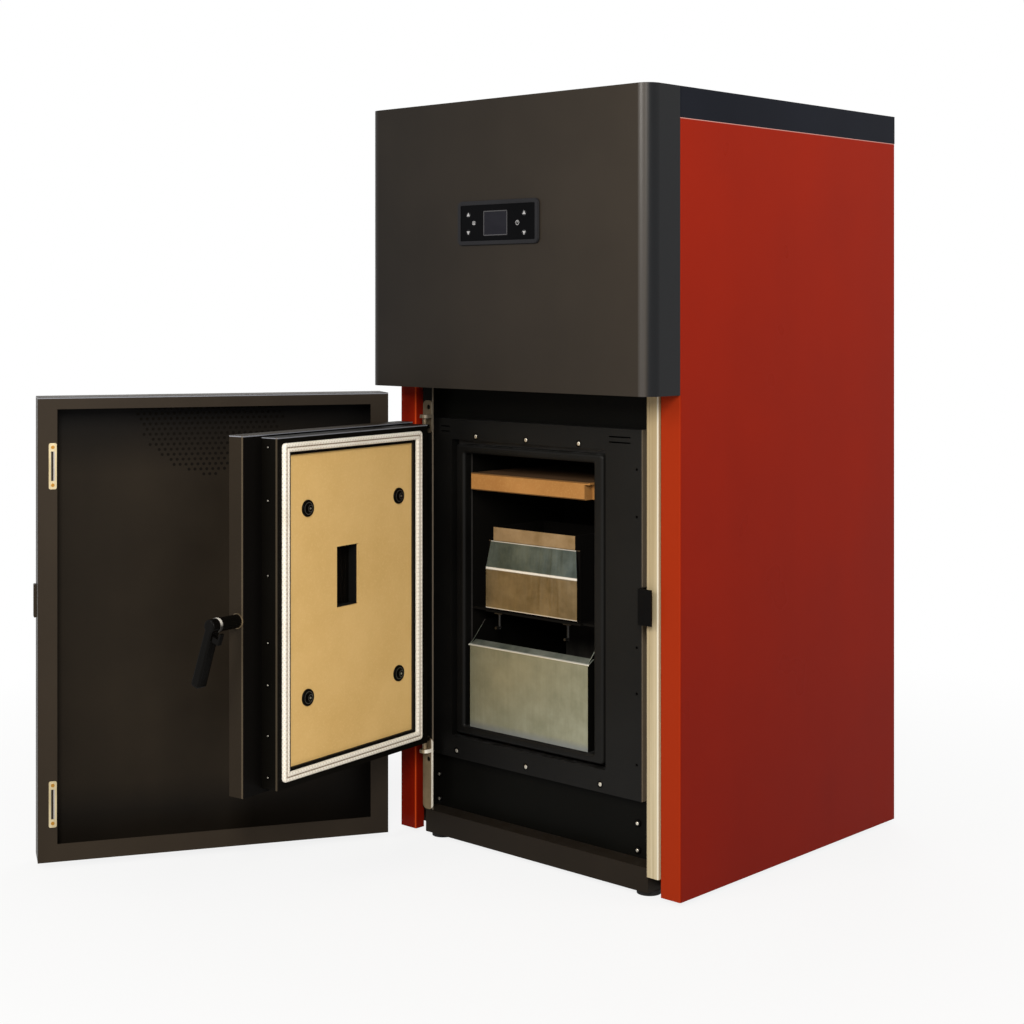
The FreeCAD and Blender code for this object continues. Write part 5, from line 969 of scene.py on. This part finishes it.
border(
    "panel_rim", panel_low, panel_high, inset=0.0008, width=RIM_WIDE, rise=0.0012,
    round_by=0.0085, material=panel_moulding,
)
border(
    "screen_border", screen_low, screen_high, inset=-0.0003, width=0.0015, rise=0.0004,
    round_by=0.0008, material=border_grey,
)
panel_membrane()
for key in KEYS:
    key_mark(key)

# Gasket rope on the inner door

ROPE_LEFT, ROPE_RIGHT = FIRE_X - 0.181, FIRE_X + 0.181
ROPE_LOW, ROPE_HIGH = 0.187, 0.731
ROPE_STEPS = 12
ROPE_PITCH = 0.004
ROPE_ROUND, ROPE_LEAST_ROUND = 0.006, 0.0006
ROPE_TURN_STEPS = 4
ROPE_SIDE_FACES = 0.3
ROPE_SIDE, ROPE_BULGE, ROPE_FULLNESS = GASKET_FACE - 0.0022, 0.0021, 0.55


def rope_height(across):
    """Two round strands side by side, low at the edges and in the middle."""
    strand = ROPE_WIDE / 2
    bulge = math.sin(math.pi * (across % strand) / strand) ** ROPE_FULLNESS
    return ROPE_SIDE + ROPE_BULGE * bulge


def rope_loop(mesh, inset, y):
    """One closed loop of points round the door, this far in from the rope's outer edge."""
    turn = max(ROPE_ROUND - inset, ROPE_LEAST_ROUND)
    left, right = ROPE_LEFT + inset + turn, ROPE_RIGHT - inset - turn
    low, high = ROPE_LOW + inset + turn, ROPE_HIGH - inset - turn
    outline = []
    for x, z, start in ((right, low, -90), (right, high, 0), (left, high, 90), (left, low, 180)):
        for n in range(ROPE_TURN_STEPS + 1):
            angle = math.radians(start + 90 * n / ROPE_TURN_STEPS)
            outline.append((x + turn * math.cos(angle), z + turn * math.sin(angle)))
    lengths = (ROPE_HIGH - ROPE_LOW, ROPE_RIGHT - ROPE_LEFT)
    points = []
    for n, (x, z) in enumerate(outline):
        next_x, next_z = outline[(n + 1) % len(outline)]
        corner, step = divmod(n, ROPE_TURN_STEPS + 1)
        pieces = 1
        if step == ROPE_TURN_STEPS:
            pieces = int(lengths[corner % 2] / ROPE_PITCH)
        for k in range(pieces):
            share = k / pieces
            points.append(mesh.verts.new((x + share * (next_x - x), y, z + share * (next_z - z))))
    return points


def chart_rope(mesh):
    """Lays out the rope for its braid: how far along it, and how far across."""
    chart = mesh.loops.layers.uv.new("rope")
    for face in mesh.faces:
        middle = face.calc_center_median()
        side = min(middle.x - ROPE_LEFT, ROPE_RIGHT - middle.x)
        end = min(middle.z - ROPE_LOW, ROPE_HIGH - middle.z)
        upright = abs(face.normal.y) < ROPE_SIDE_FACES
        for loop in face.loops:
            spot = loop.vert.co
            down = GASKET_FACE - spot.y if upright else 0.0
            if side < end:
                across = min(spot.x - ROPE_LEFT, ROPE_RIGHT - spot.x) - down
                loop[chart].uv = (spot.z, across)
            else:
                across = min(spot.z - ROPE_LOW, ROPE_HIGH - spot.z) - down
                loop[chart].uv = (spot.x, across)


def gasket_rope():
    """Two crowned strands all round the door, in place of the plain solid."""
    mesh = bmesh.new()
    loops = [rope_loop(mesh, 0.0, GASKET_SEAT)]
    for n in range(ROPE_STEPS + 1):
        inset = n * ROPE_WIDE / ROPE_STEPS
        loops.append(rope_loop(mesh, inset, rope_height(min(inset, ROPE_WIDE - SAME_POINT))))
    loops.append(rope_loop(mesh, ROPE_WIDE, GASKET_SEAT))
    for outer, inner in zip(loops, loops[1:] + loops[:1]):
        for n in range(len(outer)):
            m = (n + 1) % len(outer)
            mesh.faces.new((outer[n], outer[m], inner[m], inner[n]))
    bmesh.ops.recalc_face_normals(mesh, faces=mesh.faces)
    mesh.normal_update()
    chart_rope(mesh)
    piece = finished(mesh, "gasket_rope", "inner_door", rope, ON_INNER_DOOR, True)
    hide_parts("door_gasket")


gasket_rope()

# Air holes of the outer door's liner as dark discs of painted shade, bright fastener parts, and
# painted highlights on screws and washers

HOLE_PITCH = 0.0104
HOLE_FIELD, HOLE_FIELD_TOP, HOLE_FIELD_MIDDLE = 0.13, 0.772, 0.012
HOLE_WIDE, HOLE_NARROW, HOLE_THICK = 0.0027, 0.0023, 0.0003
PROUD, SUNK = 0.0001, 0.0001
FRAME_SCREWS = [(FIRE_X + x, 0.721) for x in (-0.12, 0, 0.12)]
FRAME_SCREWS += [(FIRE_X + x, 0.159) for x in (-0.167, 0, 0.167)]
KICK_SCREWS = [(x, z) for x in (-0.254, 0.206) for z in (0.104, 0.060)]
RIVET_X, RIVET_Y = CASING_FREE + 0.0015, -0.008
RIVET_ROW = (0.195, 0.262, 0.343, 0.411, 0.519, 0.639, 0.725)
WASHERS = [(x, z) for x in (-0.151, 0.087) for z in (0.312, 0.621)]
WASHER_FACE = BOARD_FACE + 0.003
BOLT_FACE = WASHER_FACE + 0.004
STUD_MIDDLE = WASHER_FACE + 0.0026
HUB_X, HUB_Y, HUB_Z = PAN_FREE + 0.0002, -0.034, 0.450
TIP_SLOPE = 0.7
# Radius and height of each tip
FRAME_TIP, KICK_TIP = (0.0036, 0.0004), (0.0032, 0.0006)
RIVET_TIP, STUD_TIP = (0.0016, 0.0006), (0.0023, 0.0032)
# Radius and width of each ring, and how thick it is
WASHER_RING, BOLT_RING, HUB_RING = (0.0102, 0.0011), (0.0058, 0.001), (0.0122, 0.0009)
HIGHLIGHT_RING_THICK, HUB_RING_THICK = 0.0003, 0.0024


def liner_holes():
    """A half-round field of small dark discs near the top of the liner, for its punched holes:
    painted shade in place of open holes.
    """
    mesh = bmesh.new()
    row_step = HOLE_PITCH * math.sqrt(3) / 2
    for row in range(int(HOLE_FIELD / row_step)):
        z = HOLE_FIELD_TOP - row * row_step
        drop = HOLE_FIELD_TOP + HOLE_FIELD_MIDDLE - z
        reach = math.sqrt(max(HOLE_FIELD**2 - drop**2, 0))
        shift = 0.5 * (row % 2)
        count = int(reach / HOLE_PITCH)
        for column in range(-count, count + 1):
            at = Matrix.Translation(((column + shift) * HOLE_PITCH, LINER_FACE + PROUD, z))
            bmesh.ops.create_cone(
                mesh, cap_ends=True, segments=10, radius1=HOLE_WIDE, radius2=HOLE_NARROW,
                depth=HOLE_THICK, matrix=at @ FACING,
            )
    finished(mesh, "liner_holes", "outer_door", hole_dark, ON_OUTER_DOOR)


def bright_tip(mesh, spot, radius, high, facing):
    """A low round tip with a sloping rim, standing on a dark fastener."""
    bmesh.ops.create_cone(
        mesh, cap_ends=True, segments=16, radius1=radius, radius2=TIP_SLOPE * radius, depth=high,
        matrix=Matrix.Translation(spot) @ facing,
    )


def screw_highlight_tips():
    """Bright crowns on the front screws: painted highlights of their heads."""
    mesh = bmesh.new()
    for x, z in FRAME_SCREWS:
        bright_tip(mesh, (x, FRAME_FACE - PROUD, z), *FRAME_TIP, FACING)
    for x, z in KICK_SCREWS:
        bright_tip(mesh, (x, SHIELD_FACE - PROUD, z), *KICK_TIP, FACING)
    finished(mesh, "screw_highlight_tips", "cabinet", zinc_plate)


def rivet_tips():
    """The bright ends of the rivets along the casing's free side."""
    mesh = bmesh.new()
    for z in RIVET_ROW:
        bright_tip(mesh, (RIVET_X, RIVET_Y, z), *RIVET_TIP, SIDEWAYS)
    finished(mesh, "rivet_tips", "inner_door", zinc_plate, ON_INNER_DOOR)


def washer_highlight_rings():
    """Thin paler rings on each board washer and on the rim of its bolt: painted highlights."""
    mesh = bmesh.new()
    for x, z in WASHERS:
        for face, ring in ((WASHER_FACE, WASHER_RING), (BOLT_FACE, BOLT_RING)):
            ring_on(mesh, Matrix.Translation((x, face - SUNK, z)) @ FACING, *ring)
    raised(mesh, (0, HIGHLIGHT_RING_THICK, 0))
    finished(mesh, "washer_highlight_rings", "inner_door", ring_highlight_black, ON_INNER_DOOR)


def bolt_tips():
    """The bright stud ends in the sockets of the four board bolts."""
    mesh = bmesh.new()
    for x, z in WASHERS:
        bright_tip(mesh, (x, STUD_MIDDLE, z), *STUD_TIP, UNDER_FACING)
    finished(mesh, "bolt_tips", "inner_door", zinc_plate, ON_INNER_DOOR)


def hub_ring():
    """The bright washer between the handle's hub and the door pan."""
    mesh = bmesh.new()
    at = Matrix.Translation((HUB_X, HUB_Y, HUB_Z)) @ SIDEWAYS
    ring_on(mesh, at, *HUB_RING)
    raised(mesh, (HUB_RING_THICK, 0, 0))
    finished(mesh, "hub_ring", "inner_door", hinge_zinc, ON_INNER_DOOR)


liner_holes()
screw_highlight_tips()
rivet_tips()
washer_highlight_rings()
bolt_tips()
hub_ring()

# Floor, light and camera

FLOOR_HALF, FLOOR_DROP = 15, 0.0004
FLOOR_TONE = (0.62, 0.61, 0.6, 1)
SHADOW_NEAR, SHADOW_FAR = 0.6, 2.0
AMBIENT_TONE, AMBIENT_STRENGTH = (1, 0.985, 0.965, 1), 0.42
WARM = (1.0, 0.96, 0.9)
COOL = (0.93, 0.97, 1.0)


def mask_of_seen(tree):
    """Rays that show the background: from the camera, from gloss and through glass."""
    path = add(tree, "LightPath").outputs
    seen = calc(tree, "MAXIMUM", path["Is Camera Ray"], path["Is Glossy Ray"])
    return calc(tree, "MAXIMUM", seen, path["Is Transmission Ray"])


def mixed_out(tree, mask, first, second, end):
    """Joins two shaders by a mask and sends them to the end of the tree."""
    mix = add(tree, "MixShader")
    for socket, source in zip(mix.inputs, (mask, first.outputs[0], second.outputs[0])):
        tree.links.new(source, socket)
    tree.links.new(mix.outputs[0], add(tree, end).inputs["Surface"])


def lay_floor():
    """A white floor that takes the part's shadow and fades into the background."""
    mesh = bmesh.new()
    bmesh.ops.create_grid(mesh, x_segments=1, y_segments=1, size=FLOOR_HALF)
    bmesh.ops.translate(mesh, vec=(0, 0, -FLOOR_DROP), verts=mesh.verts)
    data = bpy.data.meshes.new("studio_floor")
    mesh.to_mesh(data)
    mesh.free()
    floor = bpy.data.objects.new("studio_floor", data)
    bpy.context.scene.collection.objects.link(floor)
    material = bpy.data.materials.new("floor_white")
    material.use_nodes = True
    tree = material.node_tree
    tree.nodes.clear()
    spot = add(tree, "TexCoord").outputs["Object"]
    distance = add(tree, "VectorMath", operation="LENGTH")
    tree.links.new(spot, distance.inputs[0])
    far = spread(tree, distance.outputs["Value"], 0.85, 1.0, SHADOW_NEAR, SHADOW_FAR)
    matt = add(tree, "BsdfDiffuse")
    matt.inputs["Color"].default_value = FLOOR_TONE
    glow = add(tree, "Emission")
    white = calc(tree, "MULTIPLY", far, mask_of_seen(tree))
    mixed_out(tree, white, matt, glow, "OutputMaterial")
    data.materials.append(material)


def light_world():
    """White where it is seen, and a soft warm light elsewhere."""
    world = bpy.data.worlds.new("studio_white")
    world.use_nodes = True
    bpy.context.scene.world = world
    tree = world.node_tree
    tree.nodes.clear()
    ambient = add(tree, "Background")
    ambient.inputs["Color"].default_value = AMBIENT_TONE
    ambient.inputs["Strength"].default_value = AMBIENT_STRENGTH
    white = add(tree, "Background")
    white.inputs["Color"].default_value = (1, 1, 1, 1)
    mixed_out(tree, mask_of_seen(tree), ambient, white, "OutputWorld")


def soft_lamp(name, place_at, aim, size, power, colour):
    data = bpy.data.lights.new(name, "AREA")
    data.shape = "RECTANGLE"
    data.size, data.size_y = size
    data.energy = power
    data.color = colour
    lamp = bpy.data.objects.new(name, data)
    lamp.location = place_at
    lamp.rotation_euler = (Vector(aim) - Vector(place_at)).to_track_quat("-Z", "Y").to_euler()
    bpy.context.scene.collection.objects.link(lamp)


def stand_camera():
    """The level camera that was fitted to the photo."""
    data = bpy.data.cameras.new("photo_camera")
    data.lens = 63.35
    data.sensor_width = 36.0
    data.shift_y = -0.2008
    camera = bpy.data.objects.new("photo_camera", data)
    camera.location = (2.0643, -2.2680, 0.9509)
    camera.rotation_euler = (math.radians(90), 0, math.radians(42.9))
    bpy.context.scene.collection.objects.link(camera)
    bpy.context.scene.camera = camera


lay_floor()
light_world()
# Each lamp's place, aim, size, power and colour
soft_lamp("front_lamp", (2.3, -2.7, 2.1), (0, -0.1, 0.8), (0.5, 1.5), 105, WARM)
soft_lamp("left_lamp", (-0.3, -3.0, 2.2), (0, -0.2, 0.6), (1.2, 1.4), 44, WARM)
soft_lamp("side_lamp", (2.0, 1.0, 2.6), (0.3, 0.3, 1.25), (1.2, 1.2), 18, WARM)
soft_lamp("back_lamp", (-1.5, 2.6, 2.4), (0, 0.3, 0.9), (1.8, 1.8), 40, COOL)
stand_camera()
bpy.context.scene.view_settings.view_transform = "Standard"

bpy.context.view_layer.update()
